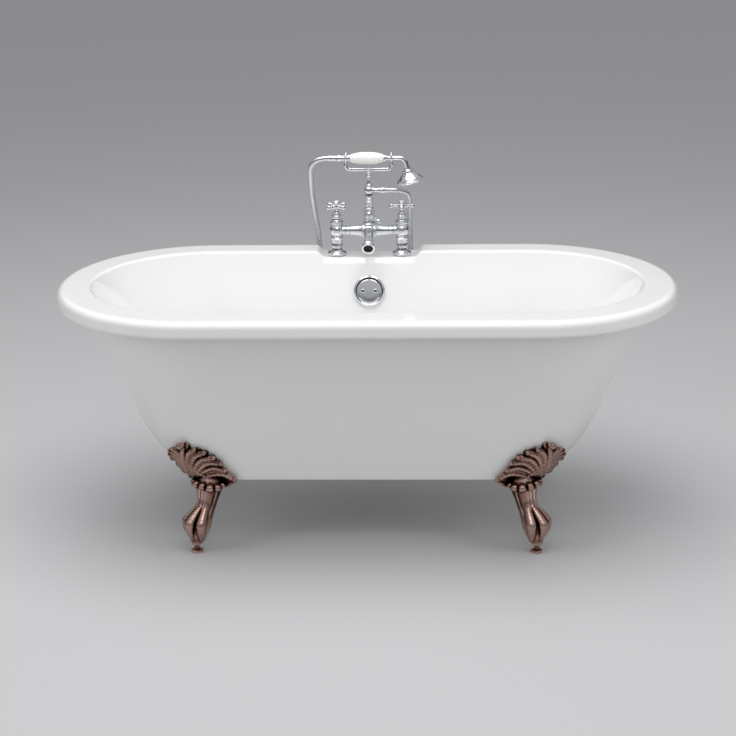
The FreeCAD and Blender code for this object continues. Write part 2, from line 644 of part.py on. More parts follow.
# ---- waste and overflow --------------------------------------------------------------------------
def make_waste_flange():
    top = CAVITY_FLOOR + GASKET + WASTE_FLANGE_THICKNESS
    inner = WASTE_THROAT_RADIUS - WASTE_THROAT_WALL
    low = top - WASTE_THROAT_LENGTH
    under = CAVITY_FLOOR + GASKET
    body = turned([(inner, low), (WASTE_THROAT_RADIUS, low), (WASTE_THROAT_RADIUS, under),
                   (WASTE_FLANGE_RADIUS, under), (WASTE_FLANGE_RADIUS - 1, top), (inner, top)],
                  0, WASTE_Y)
    web = Part.makeBox(2 * inner + 1, CARTRIDGE_WEB, 3, Vector(-inner - 0.5, WASTE_Y - CARTRIDGE_WEB / 2, low))
    across = Part.makeBox(CARTRIDGE_WEB, 2 * inner + 1, 3, Vector(-CARTRIDGE_WEB / 2, WASTE_Y - inner - 0.5, low))
    hub = cylinder(PLUG_STEM_RADIUS + 3, low, low + 3, 0, WASTE_Y)
    grid = united([body, web, across, hub])
    return grid.cut(cylinder(PLUG_STEM_RADIUS - 2 + PIPE_FIT, low - 1, low + 4, 0, WASTE_Y))


def make_waste_flange_gasket():
    return ring(WASTE_FLANGE_RADIUS - 1, WASTE_THROAT_RADIUS + 1, CAVITY_FLOOR, CAVITY_FLOOR + GASKET, 0, WASTE_Y)


def make_waste_body_gasket():
    top = SHELL_BOTTOM
    return ring(WASTE_SEAT_RADIUS, WASTE_THROAT_RADIUS + 1, top - GASKET, top, 0, WASTE_Y)


def make_waste_body():
    seat = SHELL_BOTTOM - GASKET
    bottom = seat - WASTE_CUP_DEPTH
    cup_inner = WASTE_THROAT_RADIUS + PIPE_FIT
    outer = turned([(0, bottom - WASTE_TAIL_LENGTH), (WASTE_TAIL_RADIUS, bottom - WASTE_TAIL_LENGTH),
                    (WASTE_TAIL_RADIUS, bottom), (cup_inner + WASTE_CUP_WALL, bottom + 4),
                    (cup_inner + WASTE_CUP_WALL, seat - WASTE_SEAT_THICKNESS),
                    (WASTE_SEAT_RADIUS, seat - WASTE_SEAT_THICKNESS), (WASTE_SEAT_RADIUS, seat), (0, seat)],
                   0, WASTE_Y)
    socket = PIPE_RADIUS + PIPE_FIT + 2 * PIPE_SOCKET_WALL
    port = rod(socket, (0, WASTE_Y, PORT_HEIGHT), (0, WASTE_Y + WASTE_PORT_LENGTH, PORT_HEIGHT))
    solid = united([outer, port])
    tools = [cylinder(cup_inner, bottom + 6, seat + 1, 0, WASTE_Y),
             cylinder(WASTE_TAIL_BORE, bottom - WASTE_TAIL_LENGTH - 1, bottom + 7, 0, WASTE_Y),
             rod(PIPE_RADIUS - PIPE_WALL, (0, WASTE_Y, PORT_HEIGHT),
                 (0, WASTE_Y + WASTE_PORT_LENGTH + 1, PORT_HEIGHT)),
             rod(PIPE_RADIUS + PIPE_FIT, (0, WASTE_Y + cup_inner + WASTE_CUP_WALL + 6, PORT_HEIGHT),
                 (0, WASTE_Y + WASTE_PORT_LENGTH + 1, PORT_HEIGHT))]
    return solid.cut(tools)


def plug_base():
    return CAVITY_FLOOR + GASKET + WASTE_FLANGE_THICKNESS + PLUG_SEAL_RADIUS * 2 + SEAT_GAP


def make_waste_plug():
    base = plug_base()
    edge = base + PLUG_THICKNESS
    dome = [(PLUG_RADIUS * math.cos(math.radians(a)), edge + PLUG_DOME * math.sin(math.radians(a)))
            for a in range(0, 90, 15)]
    stem = base - PLUG_STEM_LENGTH
    profile = [(0, stem), (PLUG_STEM_RADIUS, stem), (PLUG_STEM_RADIUS, base), (PLUG_RADIUS, base)]
    return turned(profile + dome + [(0, edge + PLUG_DOME)], 0, WASTE_Y)


def make_plug_seal():
    """Ring under the plug's edge."""
    seal = Part.makeTorus(PLUG_RADIUS - 6, PLUG_SEAL_RADIUS, Vector(0, WASTE_Y, plug_base() - PLUG_SEAL_RADIUS))
    return seal


def make_plug_cartridge():
    """Click mechanism standing on the flange's web; the plug's stem slides in it."""
    low = CAVITY_FLOOR + GASKET + WASTE_FLANGE_THICKNESS - WASTE_THROAT_LENGTH + 3
    stem_end = plug_base() - PLUG_STEM_LENGTH
    inner = PLUG_STEM_RADIUS + STUD_CLEARANCE
    height = stem_end + 14 - low
    sleeve = ring(inner + 2, inner, low, low + height, 0, WASTE_Y)
    foot = cylinder(PLUG_STEM_RADIUS - 2, low - 3, low + 2, 0, WASTE_Y)
    floor = cylinder(inner + 1, low, stem_end - 0.3, 0, WASTE_Y)
    return united([sleeve, foot, floor])


def make_overflow_faceplate():
    """Domed ring with a tilted disc in it, which leaves a crescent open at the top."""
    outer, inner = OVERFLOW_PLATE_RADIUS, OVERFLOW_DISC_RADIUS
    depth = OVERFLOW_PLATE_DEPTH
    rim = turned([(inner, SEAT_GAP), (outer, SEAT_GAP), (outer, depth * 0.35), (outer - 1.5, depth * 0.75),
                  (outer - 3.5, depth), (inner + 0.6, depth), (inner, depth - 1)])
    disc = cylinder(inner + 1, -1.2, 1.2)
    disc.rotate(Vector(0, 0, 0), X_AXIS, OVERFLOW_DISC_TILT)
    disc.translate(Vector(0, 0, depth - 4.5))
    keep = cylinder(inner + 0.5, SEAT_GAP, depth)
    solid = united([rim, disc.common(keep)])
    slot = cylinder(inner - 2, 0, depth).cut(moved(cylinder(inner - 2, -1, depth + 1), 0, -7, 0))
    holes = [cylinder(OVERFLOW_SCREW_RADIUS + PIPE_FIT, -1, depth + 1, s * OVERFLOW_SCREW_SPACING / 2, 0)
             for s in (-1, 1)]
    return overflow_frame(solid.cut([moved(slot, 0, 1, 0)] + holes))


def make_overflow_screws():
    depth = OVERFLOW_PLATE_DEPTH
    screws = []
    for side in (-1, 1):
        x = side * OVERFLOW_SCREW_SPACING / 2
        head = turned([(0, depth - 2.6), (OVERFLOW_SCREW_RADIUS + 1.8, depth - 2.6),
                       (OVERFLOW_SCREW_RADIUS + 1.2, depth - 1.4), (0, depth - 1)], x)
        shank = cylinder(OVERFLOW_SCREW_RADIUS, -SHELL - GASKET - OVERFLOW_CUP_DEPTH + 4, depth - 2.5, x, 0)
        screws.append(overflow_frame(united([head, shank])))
    return grouped(screws)


def make_overflow_gasket():
    back = -SHELL
    return overflow_frame(ring(OVERFLOW_CUP_RADIUS, OVERFLOW_HOLE_RADIUS, back - GASKET, back - 0.05))


def pipe_axis():
    room = PIPE_RADIUS + PIPE_FIT + PIPE_SOCKET_WALL + PIPE_SKIN_GAP
    top = Vector(0, body_at(PIPE_TOP_HEIGHT, -SKIN)[1] - room, PIPE_TOP_HEIGHT)
    corner = Vector(0, PIPE_CORNER_Y, PORT_HEIGHT)
    return top, corner


def make_overflow_elbow():
    back = -SHELL - GASKET
    cup = overflow_frame(cylinder(OVERFLOW_CUP_RADIUS, back - OVERFLOW_CUP_DEPTH, back))
    top, corner = pipe_axis()
    down = (corner - top).normalize()
    socket_end = top
    socket_top = top - down * PIPE_SOCKET_LENGTH
    socket = rod(PIPE_RADIUS + PIPE_FIT + PIPE_SOCKET_WALL, socket_end, socket_top)
    solid = united([cup, socket])
    wall = OVERFLOW_CUP_WALL
    room = overflow_frame(cylinder(OVERFLOW_CUP_RADIUS - wall - 2, back - OVERFLOW_CUP_DEPTH + wall, back + 1))
    bosses = [overflow_frame(cylinder(OVERFLOW_SCREW_RADIUS + 2.5, back - OVERFLOW_CUP_DEPTH + 0.5, back,
                                      s * OVERFLOW_SCREW_SPACING / 2, 0)) for s in (-1, 1)]
    bores = [overflow_frame(cylinder(OVERFLOW_SCREW_RADIUS + 0.1, back - OVERFLOW_CUP_DEPTH + 3, back + 1,
                                     s * OVERFLOW_SCREW_SPACING / 2, 0)) for s in (-1, 1)]
    pipe_room = rod(PIPE_RADIUS + PIPE_FIT, socket_end + down, socket_end - down * (PIPE_SOCKET_LENGTH * 0.6))
    way = rod(PIPE_RADIUS - PIPE_WALL, socket_end, socket_top + down * 2)
    shell = solid.cut([room, pipe_room, way]).fuse(bosses).cut(bores)
    return shell.cut([pipe_room, overflow_frame(cylinder(2 * OVERFLOW_CUP_RADIUS, back, back + 30))])


def make_overflow_pipe():
    """Down from the elbow between the skins, round under the floor and into the waste."""
    top, corner = pipe_axis()
    down = (corner - top).normalize()
    start = top - down * (PIPE_SOCKET_LENGTH * 0.6 - 1)
    end = Vector(0, WASTE_Y + WASTE_THROAT_RADIUS + WASTE_CUP_WALL + 8, PORT_HEIGHT)
    ahead = (end - corner).normalize()
    turn = math.acos(down.dot(ahead))
    back = PIPE_BEND_RADIUS * math.tan(turn / 2)
    a, b = corner - down * back, corner + ahead * back
    inward = (ahead - down).normalize()
    middle = corner + inward * (PIPE_BEND_RADIUS * (1 / math.cos(turn / 2) - 1))
    path = Part.Wire([Part.LineSegment(start, a).toShape(), Part.Arc(a, middle, b).toShape(),
                      Part.LineSegment(b, end).toShape()])
    return swept(PIPE_RADIUS, path).cut(swept(PIPE_RADIUS - PIPE_WALL, path))


def make_overflow_pipe_nuts():
    """Compression nuts round the pipe, against the elbow's socket and the waste's port."""
    top, corner = pipe_axis()
    down = (corner - top).normalize()
    inner = PIPE_RADIUS + PIPE_FIT
    upper = rod(inner + PIPE_SOCKET_WALL, top + down * SEAT_GAP, top + down * 14)
    upper = upper.cut(rod(inner, top - down, top + down * 15))
    y = WASTE_Y + WASTE_PORT_LENGTH
    lower = rod(inner + 2 * PIPE_SOCKET_WALL + 1.5, (0, y + SEAT_GAP, PORT_HEIGHT), (0, y + 14, PORT_HEIGHT))
    lower = lower.cut(rod(inner, (0, y - 1, PORT_HEIGHT), (0, y + 15, PORT_HEIGHT)))
    return grouped([upper, lower])


# ---- feet ----------------------------------------------------------------------------------------
def leg_levels():
    """Height, centre and radii of the leg's sections, from the claw up to the knee."""
    x, y = PAD_X, PAD_Y
    return [
        (CLAW_BOTTOM, x - 3, y - 3, 22, 22),
        (CLAW_BOTTOM + 14, x - 5, y - 6, 31, 31),
        (CLAW_BOTTOM + 38, x - 8, y - 10, 35, 35),
        (CLAW_BOTTOM + 62, x - 13, y - 15, 32, 31),
        (CLAW_BOTTOM + 80, x - 20, y - 24, 28, 27),
        (CLAW_BOTTOM + 100, x - 28, y - 33, 28, 27),
        (BASE_HEIGHT - 28, x - 32, y - 38, 33, 32),
        (BASE_HEIGHT - 14, x - 34, y - 40, 37, 36),
        (BASE_HEIGHT, x - 36, y - 40, 42, 40),
    ]


def oval(height, x, y, rx, ry):
    """Horizontal oval with its long axis along X."""
    if ry > rx:
        rx, ry = ry, rx
    edge = Part.Ellipse(Vector(x, y, height), max(rx, ry + 0.01), ry).toShape()
    return Part.Wire(edge)


def leaf_outline():
    """Points of the acanthus leaf's outline, seen square to the body at the corner (along, height)."""
    x = PAD_X
    base = BASE_HEIGHT
    return [(x - 119, base + 16), (x - 96, base - 4), (x - 80, base - 12), (x - 30, base - 14),
            (x - 2, base + 2), (x + 22, base + 30), (x + 44, base + 70), (x + 53, base + 84),
            (x + 46, base + 97), (x + 33, base + 99), (x + 25, base + 106), (x + 12, base + 119),
            (x + 2, base + 114), (x - 8, base + 104), (x - 26, base + 101), (x - 46, base + 90),
            (x - 66, base + 82), (x - 84, base + 62), (x - 100, base + 44)]


def make_foot():
    """Claw foot at the +X +Y corner: claw and ball, curved leg, knee with an acanthus leaf that lies on
    the outer skin, and a tab that is bolted up through the base."""
    leg = lofted([oval(*level) for level in leg_levels()], False)
    x, y = PAD_X, PAD_Y
    base = BASE_HEIGHT
    knee = lofted([oval(base - 30, x - 36, y - 38, 34, 32), oval(base - 8, x - 38, y - 36, 46, 42),
                   oval(base + 22, x - 30, y - 34, 50, 42), oval(base + 55, x - 18, y - 34, 46, 38),
                   oval(base + 85, x - 6, y - 38, 32, 30), oval(base + 108, x + 4, y - 42, 14, 16)], False)
    leaf_wire = [Vector(px, 0, pz) for px, pz in leaf_outline()]
    leaf = moved(polygon(leaf_wire).extrude(Vector(0, y, 0)), 0, y - LEAF_REACH, 0)
    top = base + 160
    inside = body_solid(base, top, SEAT_GAP)
    leaf = leaf.common(body_solid(base - 20, top, LEAF_THICKNESS)).cut(inside)
    tab = united([cylinder(FOOT_TAB_RADIUS, base - FOOT_TAB_THICKNESS, base, FOOT_BOLT_X, FOOT_BOLT_Y),
                  web_plate((FOOT_BOLT_X, FOOT_BOLT_Y), (x - 46, y - 42), 2 * FOOT_TAB_RADIUS,
                            base - FOOT_TAB_THICKNESS, base)])
    toes = [claw_toe(angle) for angle in (0, 50, 100, 230)]
    limb = united([leg, knee, tab] + toes).cut(inside)
    foot = united([limb, leaf])
    bottom = CLAW_BOTTOM
    stud_hole = cylinder(STUD_RADIUS + STUD_CLEARANCE, bottom - 5, STUD_LENGTH + PAD_THICKNESS + 1, x, y)
    bolt_hole = cylinder(FOOT_BOLT_HOLE, base - FOOT_TAB_THICKNESS - 1, base + 1, FOOT_BOLT_X, FOOT_BOLT_Y)
    head_room = cylinder(FOOT_WASHER_RADIUS + 1, base - 60, base - FOOT_TAB_THICKNESS, FOOT_BOLT_X, FOOT_BOLT_Y)
    return foot.cut([stud_hole, bolt_hole, head_room, cylinder(80, bottom - 40, bottom, x, y)])


def web_plate(start, end, width, bottom, top):
    """Upright-sided plate between two plan points."""
    a, b = Vector(start[0], start[1], bottom), Vector(end[0], end[1], bottom)
    across = (b - a).normalize().cross(Z_AXIS) * (width / 2)
    return polygon([a + across, b + across, b - across, a - across]).extrude(Vector(0, 0, top - bottom))


def claw_toe(angle):
    """One toe over the ball, with two knuckles, at an angle about the claw's middle."""
    x, y = PAD_X - 9, PAD_Y - 9
    out = Vector(math.cos(math.radians(angle)), math.sin(math.radians(angle)), 0)
    centre = Vector(x, y, 0)
    bones = []
    for reach, height, radius in ((23, 92, 12), (34, 70, 12), (31, 52, 10), (23, CLAW_BOTTOM + 8, 7)):
        bones.append(Part.Wire(Part.makeCircle(radius, centre + out * reach + Vector(0, 0, height),
                                               Z_AXIS)))
    return Part.makeLoft(bones, True, False, False)


def make_glide():
    """Threaded levelling stud with its pad, at the +X +Y corner."""
    return turned([(0, 0), (PAD_RADIUS, 0), (PAD_RADIUS, PAD_THICKNESS - 2), (PAD_RADIUS - 3, PAD_THICKNESS),
                   (STUD_RADIUS, PAD_THICKNESS), (STUD_RADIUS, STUD_LENGTH), (0, STUD_LENGTH)], PAD_X, PAD_Y)


def make_glide_lock_nuts():
    nuts = []
    for sy in (-1, 1):
        for sx in (-1, 1):
            nut = turned([(STUD_RADIUS + STUD_CLEARANCE, CLAW_BOTTOM - LOCK_NUT_THICKNESS),
                          (LOCK_NUT_RADIUS - 1.5, CLAW_BOTTOM - LOCK_NUT_THICKNESS),
                          (LOCK_NUT_RADIUS, CLAW_BOTTOM - LOCK_NUT_THICKNESS + 1.5),
                          (LOCK_NUT_RADIUS, CLAW_BOTTOM - 1.5), (LOCK_NUT_RADIUS - 1.5, CLAW_BOTTOM),
                          (STUD_RADIUS + STUD_CLEARANCE, CLAW_BOTTOM)], sx * PAD_X, sy * PAD_Y)
            nuts.append(nut)
    return grouped(nuts)


def make_foot_bolts():
    seat = BASE_HEIGHT - FOOT_TAB_THICKNESS - FOOT_WASHER_THICKNESS
    bolts = []
    for x, y in foot_bolt_places():
        head = hexagon(FOOT_BOLT_FLATS, seat - FOOT_BOLT_HEAD, seat, x, y)
        bolts.append(united([head, cylinder(FOOT_BOLT_RADIUS, seat, SHELL_BOTTOM - 1, x, y)]))
    return grouped(bolts)


def make_foot_washers():
    seat = BASE_HEIGHT - FOOT_TAB_THICKNESS
    return grouped([ring(FOOT_WASHER_RADIUS, FOOT_BOLT_HOLE, seat - FOOT_WASHER_THICKNESS, seat, x, y)
                    for x, y in foot_bolt_places()])


def make_foot_inserts():
    inserts = []
    bore = FOOT_BOLT_RADIUS + 0.1
    for x, y in foot_bolt_places():
        inserts.append(turned([(bore, BOARD_BOTTOM), (INSERT_RADIUS, BOARD_BOTTOM),
                               (INSERT_RADIUS, SHELL_BOTTOM - INSERT_FLANGE),
                               (INSERT_FLANGE_RADIUS, SHELL_BOTTOM - INSERT_FLANGE),
                               (INSERT_FLANGE_RADIUS, SHELL_BOTTOM), (bore, SHELL_BOTTOM)], x, y))
    return grouped(inserts)


# ---- mixer ---------------------------------------------------------------------------------------
def make_pillar(x, y):
    """Deck pillar: flange on the deck, hollow-sided neck, and a threaded tail down through the rim."""
    b, flange, neck = PILLAR_BASE, PILLAR_FLANGE_RADIUS, PILLAR_NECK_RADIUS
    rise = PILLAR_NECK_HEIGHT - PILLAR_FLANGE_THICKNESS
    curve = []
    for i in range(7):
        t = math.radians(15 * i)
        curve.append((neck + (flange - 1.5 - neck) * (1 - math.sin(t)),
                      b + PILLAR_FLANGE_THICKNESS + 1 + (rise - 1) * (1 - math.cos(t))))
    end = b - TAIL_LENGTH
    relief = end + TAIL_CONNECTION
    profile = [(PILLAR_BORE, end), (TAIL_RADIUS, end), (TAIL_RADIUS, relief), (TAIL_RADIUS - 1, relief),
               (TAIL_RADIUS - 1, relief + TAIL_RELIEF), (TAIL_RADIUS, relief + TAIL_RELIEF),
               (TAIL_RADIUS, b), (flange, b),
               (flange, b + PILLAR_FLANGE_THICKNESS)] + curve
    profile += [(neck, PILLAR_TOP), (PILLAR_BORE, PILLAR_TOP)]
    return turned(profile, x, y)


def make_pillar_gaskets():
    inner = TAIL_RADIUS + SEAT_GAP
    return grouped(at_pillars(lambda x, y: ring(PILLAR_FLANGE_RADIUS - 1, inner, DECK_HEIGHT, PILLAR_BASE, x, y)))


def make_pillar_backnuts():
    top = FLANGE_HEIGHT
    bore = TAIL_RADIUS + PIPE_FIT

    def nut(x, y):
        body = hexagon(BACKNUT_FLATS, top - BACKNUT_THICKNESS, top, x, y)
        return body.cut(cylinder(bore, top - BACKNUT_THICKNESS - 1, top + 1, x, y))
    return grouped(at_pillars(nut))


def make_union_nuts():
    """Nuts that draw the mixer's tails down on to the pillars."""
    inner = PILLAR_NECK_RADIUS + PIPE_FIT
    outer = inner + UNION_NUT_WALL
    low = PILLAR_TOP - UNION_NUT_LENGTH / 2
    high = low + UNION_NUT_LENGTH

    def nut(x, y):
        return turned([(inner, low), (outer - 1.5, low), (outer, low + 2), (outer - 1, low + 6),
                       (outer - 1, high - 6), (outer, high - 2), (outer - 1.5, high), (inner, high)], x, y)
    return grouped(at_pillars(nut))


def housing_solid(x, y):
    """Valve housing at one end of the bridge, with the tail that seats on the pillar."""
    r, collar, a = HOUSING_RADIUS, COLLAR_RADIUS, BRIDGE_HEIGHT
    tail_top = PILLAR_TOP + UNION_NUT_LENGTH / 2 + 1
    bulb = [(r * math.cos(math.radians(t)) ** 0.6, a - 2 + 19 * math.sin(math.radians(t)))
            for t in range(-60, 61, 15)]
    profile = [(0, PILLAR_TOP), (PILLAR_NECK_RADIUS, PILLAR_TOP), (PILLAR_NECK_RADIUS, tail_top)]
    profile += [(collar * 0.83, tail_top)] + bulb
    profile += [(collar * 0.86, HOUSING_TOP - 9), (collar, HOUSING_TOP - 8), (collar, HOUSING_TOP - 1),
                (collar - 1, HOUSING_TOP), (0, HOUSING_TOP)]
    return turned(profile, x, y)


def bridge_solid():
    """Horizontal tube between the housings, beaded near each and flared at the middle."""
    arm, flare, end = BRIDGE_ARM_RADIUS, BRIDGE_FLARE_RADIUS, PILLAR_X - 5
    half = [(end, arm), (68, arm), (67, arm + 2), (64, arm + 2), (63, arm), (58, arm), (57, arm + 1.5),
            (55, arm + 1.5), (54, arm), (44, arm), (34, arm + 1.5), (25, arm + 4), (17, flare), (0, flare)]
    outline = [(-x, r) for x, r in half] + [(x, r) for x, r in reversed(half[:-1])]
    points = [Vector(-end, 0, 0)] + [Vector(x, 0, r) for x, r in outline] + [Vector(end, 0, 0)]
    solid = polygon(points).revolve(Vector(0, 0, 0), X_AXIS, 360)
    return moved(solid, 0, MIXER_Y, BRIDGE_HEIGHT)


def make_mixer_body():
    a, y = BRIDGE_HEIGHT, MIXER_Y
    centre = turned([(0, a - 19), (CENTRE_RADIUS - 3, a - 19), (CENTRE_RADIUS, a - 15), (CENTRE_RADIUS, a + 20),
                     (COLUMN_RADIUS, a + 30), (COLUMN_RADIUS, COLUMN_TOP - 13),
                     (COLUMN_RING_RADIUS, COLUMN_TOP - 12), (COLUMN_RING_RADIUS, COLUMN_TOP - 8),
                     (COLUMN_RADIUS, COLUMN_TOP - 6), (COLUMN_RADIUS - 2, COLUMN_TOP), (0, COLUMN_TOP)], 0, y)
    spout_boss = rod(SPOUT_BOSS_RADIUS, (0, y, a), (0, y - SPOUT_BOSS_LENGTH, a))
    boss = rod(DIVERTER_BOSS_RADIUS, (0, y, DIVERTER_HEIGHT), (0, y - DIVERTER_BOSS_LENGTH, DIVERTER_HEIGHT))
    solid = united(at_pillars(housing_solid) + [bridge_solid(), centre, spout_boss, boss])
    tools = [rod(BRIDGE_BORE, (-PILLAR_X, y, a), (PILLAR_X, y, a)),
             cylinder(COLUMN_BORE, a, COLUMN_TOP + 1, 0, y),
             rod(SPOUT_BORE, (0, y, a), (0, y - SPOUT_BOSS_LENGTH - 1, a)),
             rod(DIVERTER_SPINDLE_RADIUS + SPINDLE_CLEARANCE, (0, y + 4, DIVERTER_HEIGHT),
                 (0, y - DIVERTER_BOSS_LENGTH - 1, DIVERTER_HEIGHT))]
    tools += at_pillars(lambda px, py: cylinder(HOUSING_CAVITY, a - 6, HOUSING_TOP + 1, px, py))
    tools += at_pillars(lambda px, py: cylinder(PILLAR_BORE, PILLAR_TOP - 1, a, px, py))
    return solid.cut(tools)


def spout_path(from_start, to_end):
    """Part of the spout's arc, between two shares of its length."""
    radius = (SPOUT_REACH ** 2 + SPOUT_DROP ** 2) / (2 * SPOUT_DROP)
    whole = math.atan2(SPOUT_REACH, radius - SPOUT_DROP)
    y0, z0 = MIXER_Y - SPOUT_BOSS_LENGTH, BRIDGE_HEIGHT

    def point(share):
        t = whole * share
        return Vector(0, y0 - radius * math.sin(t), z0 - radius * (1 - math.cos(t)))
    middle = point((from_start + to_end) / 2)
    return Part.Wire([Part.Arc(point(from_start), middle, point(to_end)).toShape()]), whole, point


def make_spout():
    path, turn, point = spout_path(0, 1)
    collar_share = 1 - SPOUT_COLLAR_LENGTH / path.Length
    collar = swept(SPOUT_COLLAR_RADIUS, spout_path(collar_share, 1)[0])
    root = swept(SPOUT_COLLAR_RADIUS, spout_path(0, SPOUT_COLLAR_LENGTH * 0.6 / path.Length)[0])
    body = united([swept(SPOUT_RADIUS, path), collar, root])
    return body.cut(swept(SPOUT_BORE, path))


def make_spout_aerator():
    """Flow straightener inside the spout's mouth."""
    path, turn, point = spout_path(0, 1)
    disc = cylinder(SPOUT_BORE - SEAT_GAP, AERATOR_RECESS, AERATOR_RECESS + AERATOR_THICKNESS)
    holes = []
    for count, radius in ((1, 0.0), (6, 4.0), (12, 7.6)):
        for i in range(count):
            t = 2 * math.pi * i / count
            holes.append(cylinder(AERATOR_HOLE, -1, 20, radius * math.cos(t), radius * math.sin(t)))
    back = (0, math.cos(turn), math.sin(turn))
    return laid(disc.cut(holes), back, point(1))


def make_cartridge(x, y):
    """Ceramic-disc headwork in its housing, with the bore that its spindle turns in."""
    body = HOUSING_CAVITY - CARTRIDGE_CLEARANCE
    low, top = BRIDGE_HEIGHT - 6, HOUSING_TOP
    bore = SPINDLE_RADIUS + SPINDLE_CLEARANCE
    return turned([(0, low), (body, low), (body, top), (CARTRIDGE_NECK_RADIUS, top),
                   (CARTRIDGE_NECK_RADIUS, top + CARTRIDGE_NECK_HEIGHT), (bore, top + CARTRIDGE_NECK_HEIGHT),
                   (bore, low + 12), (0, low + 12)], x, y)


def make_bonnet(x, y):
    """Tapered shroud over the headwork's neck."""
    b, top = HOUSING_TOP, BONNET_TOP
    r, neck = BONNET_RADIUS, BONNET_NECK_RADIUS
    hollow = r - BONNET_WALL
    bore = SPINDLE_RADIUS + 0.5
    return turned([(hollow, b), (r + 1.5, b), (r + 1.5, b + 3), (r, b + 4), (r, b + 13), (r + 0.8, b + 14.5),
                   (r, b + 16), (r - 1.5, b + 20), (neck, top - 3), (neck + 0.8, top - 1.5), (neck, top),
                   (bore, top), (bore, b + 15), (hollow, b + 15)], x, y)


def make_spindle(x, y):
    low = BRIDGE_HEIGHT - 6 + 12 + SEAT_GAP
    top = HANDLE_BASE + HANDLE_HUB_HEIGHT - 6
    return cylinder(SPINDLE_RADIUS, low, top, x, y)


def make_crosshead(x, y, turn):
    """Four-armed handle with a ball at each arm's end."""
    b, hub = HANDLE_BASE, HANDLE_HUB_RADIUS
    body = turned([(0, b), (hub - 2, b), (hub - 2, b + 5), (hub, b + 8), (hub, b + 18), (hub - 0.8, b + 20),
                   (hub - 1, b + HANDLE_HUB_HEIGHT), (0, b + HANDLE_HUB_HEIGHT)], x, y)
    z = b + HANDLE_ARM_HEIGHT
    arms = []
    for i in range(4):
        t = math.radians(turn + 90 * i)
        out = (math.cos(t), math.sin(t), 0)
        end = (x + HANDLE_REACH * out[0], y + HANDLE_REACH * out[1], z)
        root, waist, flare = HANDLE_ARM_RADIUS + 0.9, HANDLE_ARM_RADIUS - 0.5, HANDLE_ARM_RADIUS + 0.8
        arm = turned([(0, 0), (root, 0), (root, hub), (waist, hub + 7), (flare, HANDLE_REACH - 4),
                      (flare, HANDLE_REACH), (0, HANDLE_REACH)])
        arms += [laid(arm, out, (x, y, z)), ball(HANDLE_BALL_RADIUS, end)]
    solid = united([body] + arms)
    bore = cylinder(SPINDLE_RADIUS + 0.1, b - 1, b + HANDLE_HUB_HEIGHT - 5.5, x, y)
    return solid.cut(bore)


def make_index(x, y):
    """Domed button on the crosshead."""
    b = HANDLE_BASE + HANDLE_HUB_HEIGHT
    dome = [(INDEX_RADIUS * math.cos(math.radians(a)), b + 2 + (INDEX_HEIGHT - 2) * math.sin(math.radians(a)))
            for a in range(0, 90, 15)]
    return turned([(0, b), (INDEX_RADIUS, b)] + dome + [(0, b + INDEX_HEIGHT)], x, y)


def diverter_front():
    return MIXER_Y - DIVERTER_BOSS_LENGTH - SEAT_GAP


def make_diverter_spindle():
    y = diverter_front()
    z = DIVERTER_HEIGHT
    return rod(DIVERTER_SPINDLE_RADIUS, (0, MIXER_Y + 3, z), (0, y - DIVERTER_HUB_LENGTH + 1.3, z))


def make_diverter_lever():
    y, z, length = diverter_front(), DIVERTER_HEIGHT, DIVERTER_HUB_LENGTH
    t = math.radians(DIVERTER_LEVER_DROP)
    out = (math.cos(t), 0, -math.sin(t))
    middle = y - length / 2
    hub = rod(DIVERTER_HUB_RADIUS, (0, y, z), (0, y - length, z))
    arm = turned([(0, 0), (2.6, 0), (2.4, 12), (3.4, DIVERTER_LEVER_LENGTH - 6), (3.4, DIVERTER_LEVER_LENGTH),
                  (0, DIVERTER_LEVER_LENGTH)])
    reach = DIVERTER_LEVER_LENGTH
    knob = ball(DIVERTER_KNOB_RADIUS, (reach * out[0], middle, z + reach * out[2]))
    solid = united([hub, laid(arm, out, (0, middle, z)), knob])
    return solid.cut(rod(DIVERTER_SPINDLE_RADIUS + 0.05, (0, y + 1, z), (0, y - length + 1.05, z)))


def make_riser():
    """Tube from the column to the outlet, with two beads."""
    r, big = RISER_RADIUS, RISER_RING_RADIUS
    top = OUTLET_HEIGHT - OUTLET_BALL_RADIUS + 1.5
    b = COLUMN_TOP
    inner = COLUMN_BORE - 2
    return turned([(inner, b), (r + 1.5, b), (r, b + 3), (r, b + 8), (big, b + 11), (big, b + 14),
                   (r + 1, b + 16), (r + 1, b + 20), (big, b + 22), (big, b + 26), (r, b + 29), (r - 1, top - 3),
                   (r, top), (inner, top)], 0, MIXER_Y)


def make_shower_elbow():
    """Ball outlet with a threaded tube towards the hose."""
    y, z, r = MIXER_Y, OUTLET_HEIGHT, OUTLET_BALL_RADIUS
    low, high = z - r + 1.5, z + r - 1
    body = ball(r, (0, y, z))
    solid = united([body, rod(OUTLET_TUBE_RADIUS, (0, y, z), (OUTLET_LENGTH, y, z)),
                    rod(OUTLET_TUBE_RADIUS + 3, (0, y, z), (OUTLET_LENGTH - 12, y, z))])
    ends = [cylinder(r, low - 10, low, 0, y), cylinder(r, high, high + 10, 0, y)]
    bores = [cylinder(COLUMN_BORE - 2, low - 1, z, 0, y), rod(4, (0, y, z), (OUTLET_LENGTH + 1, y, z))]
    return solid.cut(ends + bores)


